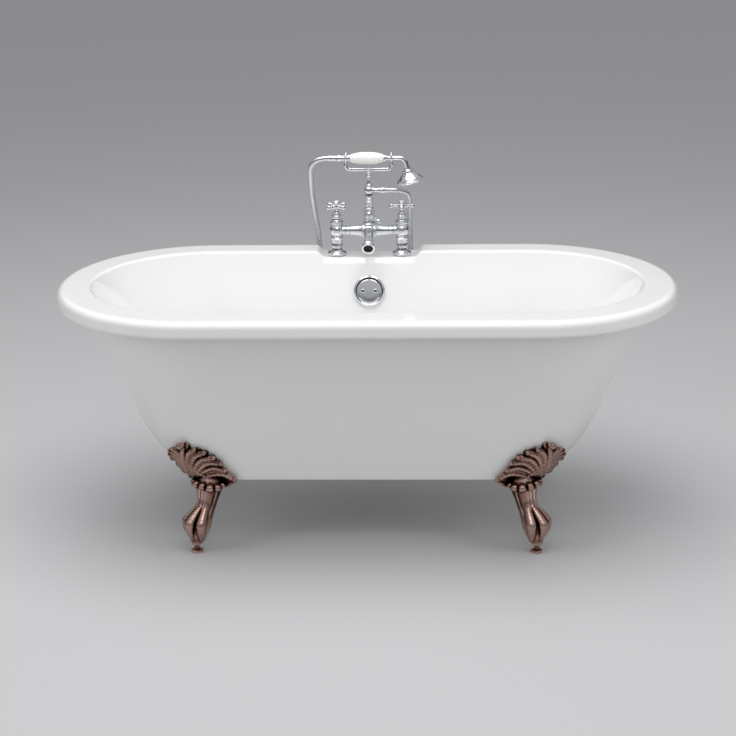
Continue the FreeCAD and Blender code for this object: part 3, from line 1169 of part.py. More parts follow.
def make_hose_nut():
    """Nut that holds the hose's lower end to the outlet."""
    r, y, z = HOSE_NUT_RADIUS, MIXER_Y, OUTLET_HEIGHT
    start = OUTLET_LENGTH - 2 - HOSE_NUT_LENGTH + 15
    bore = OUTLET_TUBE_RADIUS + PIPE_FIT
    end = HOSE_NUT_LENGTH
    nut = turned([(bore, 0), (r - 1, 0), (r, 1.5), (r, 4), (r - 1.5, 5.5), (r - 1.5, end - 2), (r - 2, end),
                  (HOSE_DIAMETER / 2 - 2.5, end), (HOSE_DIAMETER / 2 - 2.5, end - 3), (bore, end - 3)])
    return laid(nut, (1, 0, 0), (OUTLET_LENGTH - 2, y, z)) if start > 0 else nut


def make_cradle():
    """Post, bar with turned-up ends, and a fork at each end that the handset lies in."""
    y = MIXER_Y
    foot = OUTLET_HEIGHT + OUTLET_BALL_RADIUS - 1
    bar, span, bend = CRADLE_BAR_HEIGHT, CRADLE_HALF_SPAN, CRADLE_BEND
    ring_z, r = CRADLE_RING_HEIGHT, CRADLE_POST_RADIUS
    post = turned([(0, foot), (6, foot), (6, foot + 2), (r, foot + 6), (r, ring_z - 4), (CRADLE_RING_RADIUS, ring_z),
                   (r, ring_z + 4), (r, bar - 8), (r + 2, bar - 4), (r + 2, bar), (0, bar)], 0, y)
    pieces = [post]
    for side, held in ((-1, TAIL_PIECE_RADIUS), (1, NECK_RADIUS)):
        rise = HANDSET_HEIGHT - held - FORK_CLEARANCE - FORK_RADIUS - FORK_ROOT_DROP
        k = bend * (1 - math.cos(math.radians(45)))
        start = Vector(0, y, bar)
        a, b = Vector(side * (span - bend), y, bar), Vector(side * span, y, bar + bend)
        middle = Vector(side * (span - k), y, bar + k)
        path = Part.Wire([Part.LineSegment(start, a).toShape(), Part.Arc(a, middle, b).toShape(),
                          Part.LineSegment(b, Vector(side * span, y, max(rise, bar + bend + 0.5))).toShape()])
        pieces += [swept(CRADLE_BAR_RADIUS, path), fork(side * span, y, held)]
    return united(pieces)


def fork(x, y, held):
    """Round bar bent to a U in the plane across the handset, open upwards."""
    half = held + FORK_CLEARANCE + FORK_RADIUS
    z, tip = HANDSET_HEIGHT, FORK_TIP_HEIGHT
    points = [Vector(x, y - half, tip), Vector(x, y - half, z), Vector(x, y, z - half), Vector(x, y + half, z),
              Vector(x, y + half, tip)]
    path = Part.Wire([Part.LineSegment(points[0], points[1]).toShape(),
                      Part.Arc(points[1], points[2], points[3]).toShape(),
                      Part.LineSegment(points[3], points[4]).toShape()])
    outwards = Vector(0, FORK_TIP_RADIUS - FORK_RADIUS, 0)
    tips = [ball(FORK_TIP_RADIUS, points[0] - outwards), ball(FORK_TIP_RADIUS, points[4] + outwards)]
    return united([swept(FORK_RADIUS, path)] + tips)


def along_handset(profile):
    """Solid turned about the handset's axis, from (x, radius) points."""
    first, last = profile[0], profile[-1]
    points = [Vector(x, 0, r) for x, r in profile]
    if first[1] > 0 and abs(first[0] - last[0]) > 0.001:
        points = [Vector(first[0], 0, 0)] + points + [Vector(last[0], 0, 0)]
    solid = polygon(points).revolve(Vector(0, 0, 0), X_AXIS, 360)
    return moved(solid, 0, MIXER_Y, HANDSET_HEIGHT)


def make_handset_tail():
    """Metal end of the handset that the hose screws on to."""
    r, left, right = TAIL_PIECE_RADIUS, TAIL_PIECE_LEFT, GRIP_LEFT - SEAT_GAP
    solid = along_handset([(left, r - 2), (left + 2, r), (left + 14, r), (left + 15, r - 1), (left + 19, r - 1),
                           (left + 20, r), (right - 5, r), (right - 4, r + 1.5), (right - 1, r + 1.5), (right, r)])
    y, z = MIXER_Y, HANDSET_HEIGHT
    socket = rod(NECK_CORE_RADIUS + 0.1, (right - 12, y, z), (right + 1, y, z))
    return solid.cut([socket, rod(NECK_BORE, (left - 1, y, z), (right, y, z))])


def make_handset_grip():
    """Porcelain sleeve, fullest at its middle."""
    steps = 12
    middle, half = (GRIP_LEFT + GRIP_RIGHT) / 2, (GRIP_RIGHT - GRIP_LEFT) / 2
    profile = []
    for i in range(steps + 1):
        t = -1 + 2 * i / steps
        profile.append((middle + half * t, GRIP_END_RADIUS + (GRIP_RADIUS - GRIP_END_RADIUS)
                        * (1 - abs(t) ** 2.6)))
    solid = along_handset(profile)
    y, z = MIXER_Y, HANDSET_HEIGHT
    return solid.cut(rod(NECK_CORE_RADIUS + 0.2, (GRIP_LEFT - 1, y, z), (GRIP_RIGHT + 1, y, z)))


def neck_end():
    """End of the neck's centre line and its direction there."""
    t = math.radians(NECK_BEND_ANGLE)
    bend_end = Vector(NECK_STRAIGHT + NECK_BEND_RADIUS * math.sin(t), MIXER_Y,
                      HANDSET_HEIGHT - NECK_BEND_RADIUS * (1 - math.cos(t)))
    down = Vector(math.cos(t), 0, -math.sin(t))
    return bend_end, down


def make_handset_neck():
    """Tube through the grip, ferrule, and the bent neck that carries the rose."""
    y, z = MIXER_Y, HANDSET_HEIGHT
    bend_end, down = neck_end()
    half = math.radians(NECK_BEND_ANGLE / 2)
    start = Vector(GRIP_RIGHT + SEAT_GAP, y, z)
    a = Vector(NECK_STRAIGHT, y, z)
    middle = Vector(NECK_STRAIGHT + NECK_BEND_RADIUS * math.sin(half), y, z - NECK_BEND_RADIUS * (1 - math.cos(half)))
    end = bend_end + down * NECK_DROP
    edges = [Part.LineSegment(start, a).toShape(), Part.Arc(a, middle, bend_end).toShape(),
             Part.LineSegment(bend_end, end).toShape()]
    path = Part.Wire(edges)
    core_start = GRIP_LEFT - SEAT_GAP - 11
    core = rod(NECK_CORE_RADIUS, (core_start, y, z), start)
    right = GRIP_RIGHT + SEAT_GAP
    ferrule = along_handset([(right, 9), (right + 1, 10), (right + 4, 10), (right + 5, 8.5), (right + 10, 7.5),
                             (right + 12, 6.5)])
    core_path = Part.Wire([Part.LineSegment(Vector(core_start, y, z), a).toShape()] + edges[1:])
    return united([swept(NECK_RADIUS, path), core, ferrule]).cut(swept(NECK_BORE, core_path))


def rose_frame(shape):
    bend_end, down = neck_end()
    return laid(shape, (down.x, down.y, down.z), bend_end + down * NECK_DROP)


def make_shower_rose():
    """Bell that opens downwards from the neck."""
    top, big, height, wall, rim = ROSE_TOP_RADIUS, ROSE_RADIUS, ROSE_HEIGHT, ROSE_WALL, ROSE_RIM
    outer = [(NECK_BORE, 0), (top, 0), (top, 3), (top + 3, 5), (top + 4, 8), (top + 3, 11), (big * 0.52, 16),
             (big * 0.66, 21), (big * 0.78, 26), (big * 0.86, height - rim - 3), (big, height - rim),
             (big, height - 2), (big - 1, height), (big - 4, height)]
    inner = [(big - 4, height - ROSE_PLATE_THICKNESS - 1), (big * 0.78 - wall, 26), (big * 0.5 - wall, 17),
             (NECK_BORE, 14)]
    return rose_frame(turned(outer + inner))


def make_rose_plate():
    """Perforated plate in the bell's mouth."""
    height, big = ROSE_HEIGHT, ROSE_RADIUS
    top = height - ROSE_PLATE_THICKNESS - 1 + SEAT_GAP
    plate = cylinder(big - 4 - SEAT_GAP, top, height - 1)
    holes = []
    for count, share in ((1, 0.0), (6, 0.25), (12, 0.5), (18, 0.75)):
        for i in range(count):
            t = 2 * math.pi * i / count
            reach = (big - 5) * share
            holes.append(cylinder(ROSE_HOLE, top - 1, height + 1, reach * math.cos(t), reach * math.sin(t)))
    return rose_frame(plate.cut(holes))


def make_hose_cone():
    """Swivel nut at the hose's upper end."""
    bore = HOSE_DIAMETER / 2 - 2.5
    length = HOSE_CONE_LENGTH
    nut = turned([(bore, 0), (HOSE_DIAMETER / 2 + 0.5, 0), (HOSE_DIAMETER / 2 + 1, 3), (8, length - 5),
                  (8.6, length - 3), (8.6, length - SEAT_GAP), (bore, length - SEAT_GAP)])
    return laid(nut, (1, 0, 0), (TAIL_PIECE_LEFT - length, MIXER_Y, HANDSET_HEIGHT))


# ---- hose ----------------------------------------------------------------------------------------
def hose_path(points):
    """Straight runs joined by tangent arcs, each as large as its two runs allow."""
    edges, radii = [], []
    last = points[0]
    for before, corner, after in zip(points, points[1:], points[2:]):
        back, ahead = (before - corner), (after - corner)
        run = min(back.Length, ahead.Length)
        u, v = back.normalize(), ahead.normalize()
        turn = math.pi - u.getAngle(v)
        radius = 0.45 * run / math.tan(turn / 2)
        a, b = corner + u * (0.45 * run), corner + v * (0.45 * run)
        inward = (u + v).normalize()
        middle = corner + inward * (radius * (1 / math.cos(turn / 2) - 1))
        edges += [Part.LineSegment(last, a).toShape(), Part.Arc(a, middle, b).toShape()]
        radii.append(radius)
        last = b
    edges.append(Part.LineSegment(last, points[-1]).toShape())
    return Part.Wire(edges), radii


def make_shower_hose():
    path, radii = hose_path(hose_route())
    hose = swept(HOSE_DIAMETER / 2, path)
    expected = math.pi * (HOSE_DIAMETER / 2) ** 2 * path.Length
    print("hose length %.0f volume ratio %.4f radii %s" %
          (path.Length, hose.Volume / expected, " ".join("%.0f" % r for r in radii)))
    return hose


# ---- the whole ----------------------------------------------------------------------------------
def feet_and_glides():
    foot, glide = make_foot(), make_glide()
    parts = {}
    for name, shape in (("foot", foot), ("glide", glide)):
        parts[name + "_rear_right"] = shape
        parts[name + "_rear_left"] = mirrored_x(shape)
        parts[name + "_front_right"] = mirrored_y(shape)
        parts[name + "_front_left"] = mirrored_x(mirrored_y(shape))
    return parts


def all_parts():
    left, right = (-PILLAR_X, MIXER_Y), (PILLAR_X, MIXER_Y)
    parts = {
        "inner_shell": make_inner_shell(),
        "outer_skin": make_outer_skin(),
        "base_board": make_base_board(),
        "deck_board": make_deck_board(),
        "waste_flange": make_waste_flange(),
        "waste_flange_gasket": make_waste_flange_gasket(),
        "waste_body": make_waste_body(),
        "waste_body_gasket": make_waste_body_gasket(),
        "waste_plug": make_waste_plug(),
        "plug_seal": make_plug_seal(),
        "plug_cartridge": make_plug_cartridge(),
        "overflow_faceplate": make_overflow_faceplate(),
        "overflow_screws": make_overflow_screws(),
        "overflow_gasket": make_overflow_gasket(),
        "overflow_elbow": make_overflow_elbow(),
        "overflow_pipe": make_overflow_pipe(),
        "overflow_pipe_nuts": make_overflow_pipe_nuts(),
        "glide_lock_nuts": make_glide_lock_nuts(),
        "foot_bolts": make_foot_bolts(),
        "foot_washers": make_foot_washers(),
        "foot_inserts": make_foot_inserts(),
        "pillar_left": make_pillar(*left),
        "pillar_right": make_pillar(*right),
        "pillar_gaskets": make_pillar_gaskets(),
        "pillar_backnuts": make_pillar_backnuts(),
        "pillar_union_nuts": make_union_nuts(),
        "mixer_body": make_mixer_body(),
        "spout": make_spout(),
        "spout_aerator": make_spout_aerator(),
        "cartridge_left": make_cartridge(*left),
        "cartridge_right": make_cartridge(*right),
        "bonnet_left": make_bonnet(*left),
        "bonnet_right": make_bonnet(*right),
        "spindle_left": make_spindle(*left),
        "spindle_right": make_spindle(*right),
        "crosshead_left": make_crosshead(*left, HANDLE_LEFT_TURN),
        "crosshead_right": make_crosshead(*right, 0),
        "index_left": make_index(*left),
        "index_right": make_index(*right),
        "diverter_spindle": make_diverter_spindle(),
        "diverter_lever": make_diverter_lever(),
        "riser": make_riser(),
        "shower_elbow": make_shower_elbow(),
        "hose_nut": make_hose_nut(),
        "cradle": make_cradle(),
        "handset_tail": make_handset_tail(),
        "handset_grip": make_handset_grip(),
        "handset_neck": make_handset_neck(),
        "shower_rose": make_shower_rose(),
        "rose_plate": make_rose_plate(),
        "hose_cone": make_hose_cone(),
        "shower_hose": make_shower_hose(),
    }
    parts.update(feet_and_glides())
    return parts


os.makedirs("parts", exist_ok=True)
for node, shape in all_parts().items():
    shape.exportStep("parts/%s.step" % node)
    print("%-22s solids %d valid %s volume %.0f" % (node, len(shape.Solids), shape.isValid(), shape.Volume))
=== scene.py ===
"""Looks of the roll-top bath, its claw feet and its deck mixer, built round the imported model.

Metres, in the model's own frame: the origin on the floor under the middle of the bath, +X along it and +Y
towards the mixer. Profiles and paths are written in millimetres and scaled by MM where a mesh is made.
"""
import json
import math
from functools import reduce

import bpy
import numpy as np
from mathutils import Matrix, Vector


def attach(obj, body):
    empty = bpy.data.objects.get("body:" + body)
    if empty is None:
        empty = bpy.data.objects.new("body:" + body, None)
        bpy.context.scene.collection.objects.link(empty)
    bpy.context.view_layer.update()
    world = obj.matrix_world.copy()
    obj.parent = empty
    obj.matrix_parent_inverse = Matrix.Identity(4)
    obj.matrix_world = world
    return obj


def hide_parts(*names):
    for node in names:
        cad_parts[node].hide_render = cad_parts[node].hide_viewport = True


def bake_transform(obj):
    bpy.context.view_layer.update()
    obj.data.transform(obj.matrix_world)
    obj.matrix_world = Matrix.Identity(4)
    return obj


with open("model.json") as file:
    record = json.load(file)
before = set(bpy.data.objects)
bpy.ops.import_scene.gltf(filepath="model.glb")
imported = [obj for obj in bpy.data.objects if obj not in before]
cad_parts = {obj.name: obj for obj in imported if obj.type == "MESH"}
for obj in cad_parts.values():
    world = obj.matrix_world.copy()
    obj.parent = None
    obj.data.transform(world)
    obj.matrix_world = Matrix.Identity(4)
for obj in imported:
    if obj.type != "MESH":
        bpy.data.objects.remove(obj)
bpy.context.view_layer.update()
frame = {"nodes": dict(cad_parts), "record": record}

MM = 0.001
ROOT = "bath"

# ---- sizes shared with the model, in mm ----
RIM_TOP = 655
RIM_INNER = 287
HALF_STRAIGHT = 425
FLANGE_HEIGHT = 618
BASE_HEIGHT = 183
CAVITY_FLOOR = 207
PILLAR_X = 90
MIXER_Y = 319
BRIDGE_Z = 706
COLUMN_TOP = 763
OUTLET_Z = 819
HANDSET_Z = 908
WASTE_Y = 55
OVERFLOW_Z = 551
PAD_X, PAD_Y = 437, 250
WALL_SLOPE_LOW, WALL_SLOPE_HIGH, CAVITY_END_SLOPE = 9, 20, 24     # degrees from upright
BODY_TOP_HALF_LENGTH, BODY_FOOT_HALF_LENGTH = 722, 518
BODY_TOP_HALF_WIDTH, BODY_FOOT_HALF_WIDTH = 296, 215
BODY_END_SLOPE = math.radians(20.4)
BODY_CURVE_Z = 331        # the skin's ends are straight above it and an arc below it
HOSE_DIAMETER = 15


# ---- mesh helpers ----
def new_object(name, data):
    obj = bpy.data.objects.new(name, data)
    bpy.context.scene.collection.objects.link(obj)
    return obj


def mesh_object(name, points, faces, crease_angle):
    mesh = bpy.data.meshes.new(name)
    mesh.from_pydata([tuple(p) for p in np.asarray(points) * MM], [], faces)
    mesh.validate()
    mesh.shade_smooth()
    mesh.set_sharp_from_angle(angle=math.radians(crease_angle))
    return new_object(name, mesh)


def ring_faces(rows, columns):
    """Quads between successive rows of points, each row closed on itself."""
    faces = []
    for a in range(0, (rows - 1) * columns, columns):
        b = a + columns
        for j in range(columns):
            k = (j + 1) % columns
            faces.append((a + j, a + k, b + k, b + j))
    return faces


def softened(profile, radius, steps=3):
    """The profile's points with each corner rounded off."""
    pts = [np.array(p, float) for p in profile]
    out = [pts[0]]
    for before, corner, after in zip(pts, pts[1:], pts[2:]):
        back, ahead = before - corner, after - corner
        la, lb = np.linalg.norm(back), np.linalg.norm(ahead)
        if la < 1e-6 or lb < 1e-6:
            continue
        cut = min(radius, 0.45 * la, 0.45 * lb)
        a, b = corner + back / la * cut, corner + ahead / lb * cut
        for i in range(steps + 1):
            t = i / steps
            out.append((1 - t) ** 2 * a + 2 * t * (1 - t) * corner + t * t * b)
    out.append(pts[-1])
    return out


def turned(profile, origin=(0, 0, 0), axis=(0, 0, 1), segments=72, soften=0.5):
    """Points and faces of a form turned about axis, from (radius, distance along the axis) pairs."""
    z = Vector(axis).normalized()
    x = z.orthogonal().normalized()
    y = z.cross(x)
    rows = softened(profile, soften) if soften else [np.array(p, float) for p in profile]
    o = Vector(origin)
    points = []
    for r, h in rows:
        for j in range(segments):
            t = 2 * math.pi * j / segments
            points.append(o + z * float(h) + (x * math.cos(t) + y * math.sin(t)) * max(float(r), 0.001))
    return np.array(points), ring_faces(len(rows), segments)


def along(path, radii, segments, up=(0, 0, 1)):
    """Points and faces of a round tube along path, with a radius at each of its points."""
    path = np.array(path, float)
    tangents = np.gradient(path, axis=0)
    tangents /= np.linalg.norm(tangents, axis=1)[:, None]
    normal = np.cross(tangents[0], up)
    normal /= np.linalg.norm(normal)
    points = []
    angles = 2 * np.pi * np.arange(segments) / segments
    for centre, tangent, radius in zip(path, tangents, radii):
        normal = normal - tangent * normal.dot(tangent)
        normal /= np.linalg.norm(normal)
        side = np.cross(tangent, normal)
        points.append(centre + radius * (np.outer(np.cos(angles), normal) + np.outer(np.sin(angles), side)))
    return np.concatenate(points), ring_faces(len(path), segments)


def globe(radius, centre):
    half = [(radius * math.sin(math.pi * i / 20), -radius * math.cos(math.pi * i / 20)) for i in range(21)]
    return turned(half, centre, segments=32, soften=0)


def joined(name, forms, crease_angle):
    """One object from several (points, faces) forms."""
    points, faces, count = [], [], 0
    for p, f in forms:
        points.append(p)
        faces += [tuple(i + count for i in face) for face in f]
        count += len(p)
    return mesh_object(name, np.concatenate(points), faces, crease_angle)


def settle(obj, material, body, slot, *nodes):
    """Gives a piece its material, its body, and the CAD nodes that it stands for."""
    obj.data.materials.append(material)
    if body:
        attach(obj, body)
    if nodes:
        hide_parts(*nodes)


# ---- materials ----
def new_node(nodes, kind, **values):
    node = nodes.new("ShaderNode" + kind)
    for key, value in values.items():
        node.inputs[key].default_value = value
    return node


class Look:
    """A new material's nodes, with the textures that the looks share; values go into the shader's inputs."""

    def __init__(self, name, **values):
        self.material = bpy.data.materials.new(name)
        self.material.use_nodes = True
        self.nodes, self.links = self.material.node_tree.nodes, self.material.node_tree.links
        self.inputs = self.nodes["Principled BSDF"].inputs
        for key, value in values.items():
            self.inputs[key].default_value = value

    def noise(self, scale, detail, coordinates=None):
        texture = new_node(self.nodes, "TexNoise", Scale=scale, Detail=detail, Roughness=0.55)
        coordinates = coordinates or new_node(self.nodes, "TexCoord").outputs["Object"]
        self.links.new(coordinates, texture.inputs["Vector"])
        return texture.outputs["Fac"]

    def colour(self, value, stops):
        self.links.new(ramp(self.nodes, self.links, value, stops), self.inputs["Base Color"])

    def gloss(self, value, low, high):
        node = new_node(self.nodes, "MapRange", **{"To Min": low, "To Max": high})
        self.links.new(value, node.inputs["Value"])
        self.links.new(node.outputs["Result"], self.inputs["Roughness"])

    def bump(self, height, strength, distance):
        node = new_node(self.nodes, "Bump", Strength=strength, Distance=distance)
        self.links.new(height, node.inputs["Height"])
        self.links.new(node.outputs["Normal"], self.inputs["Normal"])


def ramp(nodes, links, value, stops):
    node = new_node(nodes, "ValToRGB")
    elements = node.color_ramp.elements
    while len(elements) < len(stops):
        elements.new(0.5)
    for element, (place, colour) in zip(elements, stops):
        element.position = place
        element.color = (*colour, 1.0)
    links.new(value, node.inputs["Fac"])
    return node.outputs["Color"]


def white_acrylic(name, colour, roughness):
    """Polished moulded acrylic: very slight waviness and a clear top layer."""
    look = Look(name, **{"IOR": 1.49, "Coat Weight": 0.6, "Coat Roughness": 0.05})
    look.colour(look.noise(3, 2), [(0.3, [c * 0.985 for c in colour]), (0.7, colour)])
    look.gloss(look.noise(60, 3), roughness * 0.8, roughness * 1.25)
    look.bump(look.noise(9, 1), 0.04, 0.002)
    return look.material


def plated(name, colour, roughness):
    """Polished plate with faint smears in its gloss."""
    look = Look(name, Metallic=1.0)
    smear = look.noise(38, 4)
    look.colour(smear, [(0.25, [c * 0.93 for c in colour]), (0.75, colour)])
    look.gloss(smear, roughness, roughness + 0.04)
    look.bump(look.noise(420, 2), 0.02, 0.0002)
    return look.material


def antique_copper(name, attribute=None):
    """Cast copper finish with a fine cast grain; the ramp paints dark brown shade into the hollows and a pale
    highlight onto the crests.
    """
    look = Look(name, Metallic=1.0)
    # The ramp paints light: dark brown painted shade where a point lies in a groove or hollow, and a pale
    # painted highlight where it stands on a crest, from the feet's attribute or else from the mesh's
    # pointiness.
    if attribute:
        source = new_node(look.nodes, "Attribute")
        source.attribute_name = attribute
        painted_light = source.outputs["Fac"]
        stops = [(0.36, (0.012, 0.005, 0.004)), (0.64, (0.070, 0.029, 0.022)), (0.79, (0.42, 0.245, 0.195)),
                 (0.91, (0.86, 0.65, 0.58))]
    else:
        painted_light = new_node(look.nodes, "NewGeometry").outputs["Pointiness"]
        stops = [(0.40, (0.035, 0.016, 0.011)), (0.485, (0.17, 0.075, 0.052)), (0.53, (0.50, 0.29, 0.23)),
                 (0.62, (0.82, 0.60, 0.53))]
    blotch = look.noise(24, 5)
    mix = new_node(look.nodes, "Mix")
    mix.data_type = "RGBA"
    mix.blend_type = "MULTIPLY"
    mix.inputs["Factor"].default_value = 1.0
    look.links.new(ramp(look.nodes, look.links, painted_light, stops), mix.inputs["A"])
    shade = [(0.3, (0.66, 0.62, 0.60)), (0.7, (1.0, 1.0, 1.0))]
    look.links.new(ramp(look.nodes, look.links, blotch, shade), mix.inputs["B"])
    look.links.new(mix.outputs["Result"], look.inputs["Base Color"])
    look.gloss(blotch, 0.20, 0.36)
    look.bump(look.noise(300, 4), 0.10, 0.0005)
    return look.material


def glazed():
    """Off-white glazed porcelain."""
    look = Look("porcelain", **{"Coat Weight": 0.5})
    soft = look.noise(30, 2)
    look.colour(soft, [(0.2, (0.90, 0.885, 0.84)), (0.8, (0.95, 0.94, 0.91))])
    look.gloss(soft, 0.07, 0.12)
    look.bump(look.noise(120, 1), 0.03, 0.0003)
    return look.material


def plain(name, colour, roughness, grain, metallic=0.0):
    """Fine-grained material for the pieces that are hardly seen."""
    look = Look(name, Metallic=metallic)
    fleck = look.noise(grain, 4.0)
    look.colour(fleck, [(0.25, [c * 0.8 for c in colour]), (0.75, [min(1, c * 1.08) for c in colour])])
    look.gloss(fleck, roughness * 0.85, roughness * 1.15)
    look.bump(fleck, 0.15, 0.0003)
    return look.material


def plywood():
    """Pale wood with its grain along the bath."""
    look = Look("plywood", Roughness=0.6)
    stretch = new_node(look.nodes, "Mapping", Scale=(4.0, 60.0, 60.0))
    look.links.new(new_node(look.nodes, "TexCoord").outputs["Object"], stretch.inputs["Vector"])
    grain = look.noise(2, 6, stretch.outputs["Vector"])
    look.colour(grain, [(0.3, (0.42, 0.28, 0.15)), (0.7, (0.66, 0.49, 0.30))])
    look.bump(grain, 0.2, 0.0006)
    return look.material


ACRYLIC = white_acrylic("acrylic_white", [0.83, 0.83, 0.825], 0.10)
SKIN_WHITE = white_acrylic("skin_white", [0.82, 0.82, 0.815], 0.14)
CHROME = plated("chrome", [0.80, 0.81, 0.83], 0.05)
HOSE_CHROME = plated("hose_chrome", [0.74, 0.75, 0.77], 0.13)
# Copper of the feet: its ramp paints shade into their grooves and highlights onto their crests.
COPPER_PAINTED_LIGHT = antique_copper("antique_copper_painted_light", "painted_light")
PORCELAIN = glazed()
# The antique_copper look paints shade into hollows and highlights onto crests from the mesh's pointiness.
CARRIED = {"chrome": CHROME, "porcelain": PORCELAIN, "acrylic_white": ACRYLIC, "skin_white": SKIN_WHITE,
           "ply": plywood(), "antique_copper": antique_copper("antique_copper"),
           "zinc_steel": plain("zinc_steel", [0.56, 0.56, 0.57], 0.32, 90, 1),
           "rough_brass": plain("rough_brass", [0.62, 0.46, 0.22], 0.36, 110, 1),
           "black_rubber": plain("black_rubber", [0.03, 0.03, 0.03], 0.7, 200),
           "pipe_white": plain("pipe_white", [0.74, 0.74, 0.73], 0.45, 80)}


# ---- hose ----
HOSE_ROUTE = [
    (42.1, 319, 819), (66, 319, 819), (89, 329, 814), (105, 349, 803), (110, 376, 778), (111, 393, 735),
    (112, 402, 680), (114, 404, 622), (115, 403, 555), (117, 404, 480), (112, 405, 402), (92, 405.5, 332),
    (46, 406, 276), (-20, 406, 255), (-84, 405.5, 278), (-126, 405, 336), (-144, 404, 408), (-148, 403, 485),
    (-146, 403, 560), (-142, 404, 622), (-146, 402, 678), (-153, 396, 732), (-160, 376, 793),
    (-161, 354, 841), (-161, 334, 879), (-149, 325, 898), (-128, 319, 908), (-104.3, 319, 908)]
HOSE_PITCH = 3.1        # from one rib of its spiral to the next
HOSE_GROOVE = 0.55      # depth between two ribs


def hose_line():
    """Evenly spaced points, in mm, of the smooth line that the hose follows."""
    curve = bpy.data.curves.new("hose_line", "CURVE")
    curve.dimensions = "3D"
    curve.resolution_u = 24
    spline = curve.splines.new("NURBS")
    spline.points.add(len(HOSE_ROUTE) - 1)
    for point, (x, y, z) in zip(spline.points, HOSE_ROUTE):
        point.co = (x * MM, y * MM, z * MM, 1.0)
    spline.order_u = 3
    spline.use_endpoint_u = True
    holder = new_object("hose_line", curve)
    depsgraph = bpy.context.evaluated_depsgraph_get()
    mesh = bpy.data.meshes.new_from_object(holder.evaluated_get(depsgraph))
    line = np.array([v.co for v in mesh.vertices]) / MM
    bpy.data.objects.remove(holder)
    bpy.data.meshes.remove(mesh)
    bpy.data.curves.remove(curve)
    steps = np.r_[0, np.cumsum(np.linalg.norm(np.diff(line, axis=0), axis=1))]
    count = int(steps[-1] / (HOSE_PITCH / 6))
    even = np.linspace(0, steps[-1], count + 1)
    return np.stack([np.interp(even, steps, line[:, i]) for i in range(3)], 1), steps[-1]


def build_hose():
    """Ribbed hose; between the two points of its blend it passes from the mixer to the handset."""
    line, length = hose_line()
    distance = np.linspace(0, length, len(line))
    crest = np.abs(np.sin(np.pi * distance / HOSE_PITCH)) ** 0.7
    radii = HOSE_DIAMETER / 2 - HOSE_GROOVE * (1 - crest)
    hose = joined("hose", [along(line, radii, 20)], 70)
    settle(hose, HOSE_CHROME, None, "chrome", "shower_hose")
    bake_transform(hose)


build_hose()


# ---- bath ----
ROUND = 96          # points round each half-round end
STRAIGHT = 120      # points along each straight side
RING = 2 * (ROUND + STRAIGHT)
RIM_EDGE = 9      # radius of the rim's inner edge
WASTE_HOLE, OVERFLOW_HOLE = 23, 27


def stadium_ring(straight, half_width, height):
    """Points of a closed outline: two straight sides joined by half-round ends."""
    t = math.pi * np.arange(ROUND) / ROUND
    x = np.r_[straight - 2 * straight * np.arange(STRAIGHT) / STRAIGHT, -straight - half_width * np.sin(t)]
    y = np.r_[np.full(STRAIGHT, half_width), half_width * np.cos(t)]
    return np.stack([np.r_[x, -x], np.r_[y, -y], np.full(RING, height)], 1)


def level_ring(size_at, height, wider=0):
    """Ring at a height of the inside or of the skin, from the function that gives its half sizes."""
    length, width = size_at(height)
    return stadium_ring(length - width, width + wider, height)


def between(one, two, steps):
    """Rings that pass evenly from one to two, and end on two."""
    return [one * (1 - i / steps) + two * (i / steps) for i in range(1, steps + 1)]


def soft_step(value, width):
    """The value where it is positive and nothing where it isn't, with a soft bend between."""
    return (value + math.sqrt(value * value + width * width)) / 2


def cavity_at(height):
    """Half length and half width of the bath's inside, its bends and edge rounded."""
    low, high, end = (math.tan(math.radians(a)) for a in (WALL_SLOPE_LOW, WALL_SLOPE_HIGH, CAVITY_END_SLOPE))
    bend, bend_width, end_fillet, side_fillet = 470, 40, 120, 70

    def side(z):
        return RIM_INNER + low * (z - RIM_TOP) + (high - low) * (soft_step(z - bend, bend_width)
                                                                 - soft_step(RIM_TOP - bend, bend_width))

    def ending(z):
        return HALF_STRAIGHT + RIM_INNER - end * (RIM_TOP - z)

    def filleted(wall, angle, radius):
        a = math.radians(angle)
        flat = wall(CAVITY_FLOOR) - radius * math.tan((math.pi / 2 - a) / 2)
        above = height - CAVITY_FLOOR
        if above < radius * (1 - math.sin(a)):
            return flat + math.sqrt(max(radius ** 2 - (radius - above) ** 2, 0))
        return wall(height)

    def rolled(wall, value, angle):
        turn = math.radians(90 - angle)
        centre_z = RIM_TOP - RIM_EDGE
        if height < centre_z + RIM_EDGE * math.cos(turn):
            return value
        centre = wall(RIM_TOP) + RIM_EDGE * math.tan(turn / 2)
        return centre - math.sqrt(max(RIM_EDGE ** 2 - (height - centre_z) ** 2, 0))

    half_length = rolled(ending, filleted(ending, CAVITY_END_SLOPE, end_fillet), CAVITY_END_SLOPE)
    half_width = rolled(side, filleted(side, WALL_SLOPE_LOW, side_fillet), WALL_SLOPE_HIGH)
    return half_length, half_width


def deck_drop(x, y):
    """How far the tap deck lies below the rim's top at a place on the rim."""
    flat, run, drop = 118, 32, 18
    t = np.clip((np.abs(x) - flat) / run, 0, 1)
    across = drop * (1 - t * t * (3 - 2 * t))
    return np.where(y > 200, across, 0)


def rim_rings():
    """Rings of the rolled rim, from the ledge inside its lip over the top to its inner edge."""
    section = [(369, 618), (365.4, 618), (365, 617.5), (365, 613)]
    section += [(365 + 10 * math.sin(t), 622 - 10 * math.cos(t)) for t in map(math.radians, range(0, 91, 10))]
    section += [(375, 626), (375, 630), (375, 634)]
    section += [(357 + 18 * math.cos(t), 637 + 18 * math.sin(t)) for t in map(math.radians, range(0, 91, 9))]
    section += [(r, 655) for r in (352, 345, 337, 329, 321, 313, 306, 300, 296.5)]
    return [stadium_ring(HALF_STRAIGHT, r, z) for r, z in section]


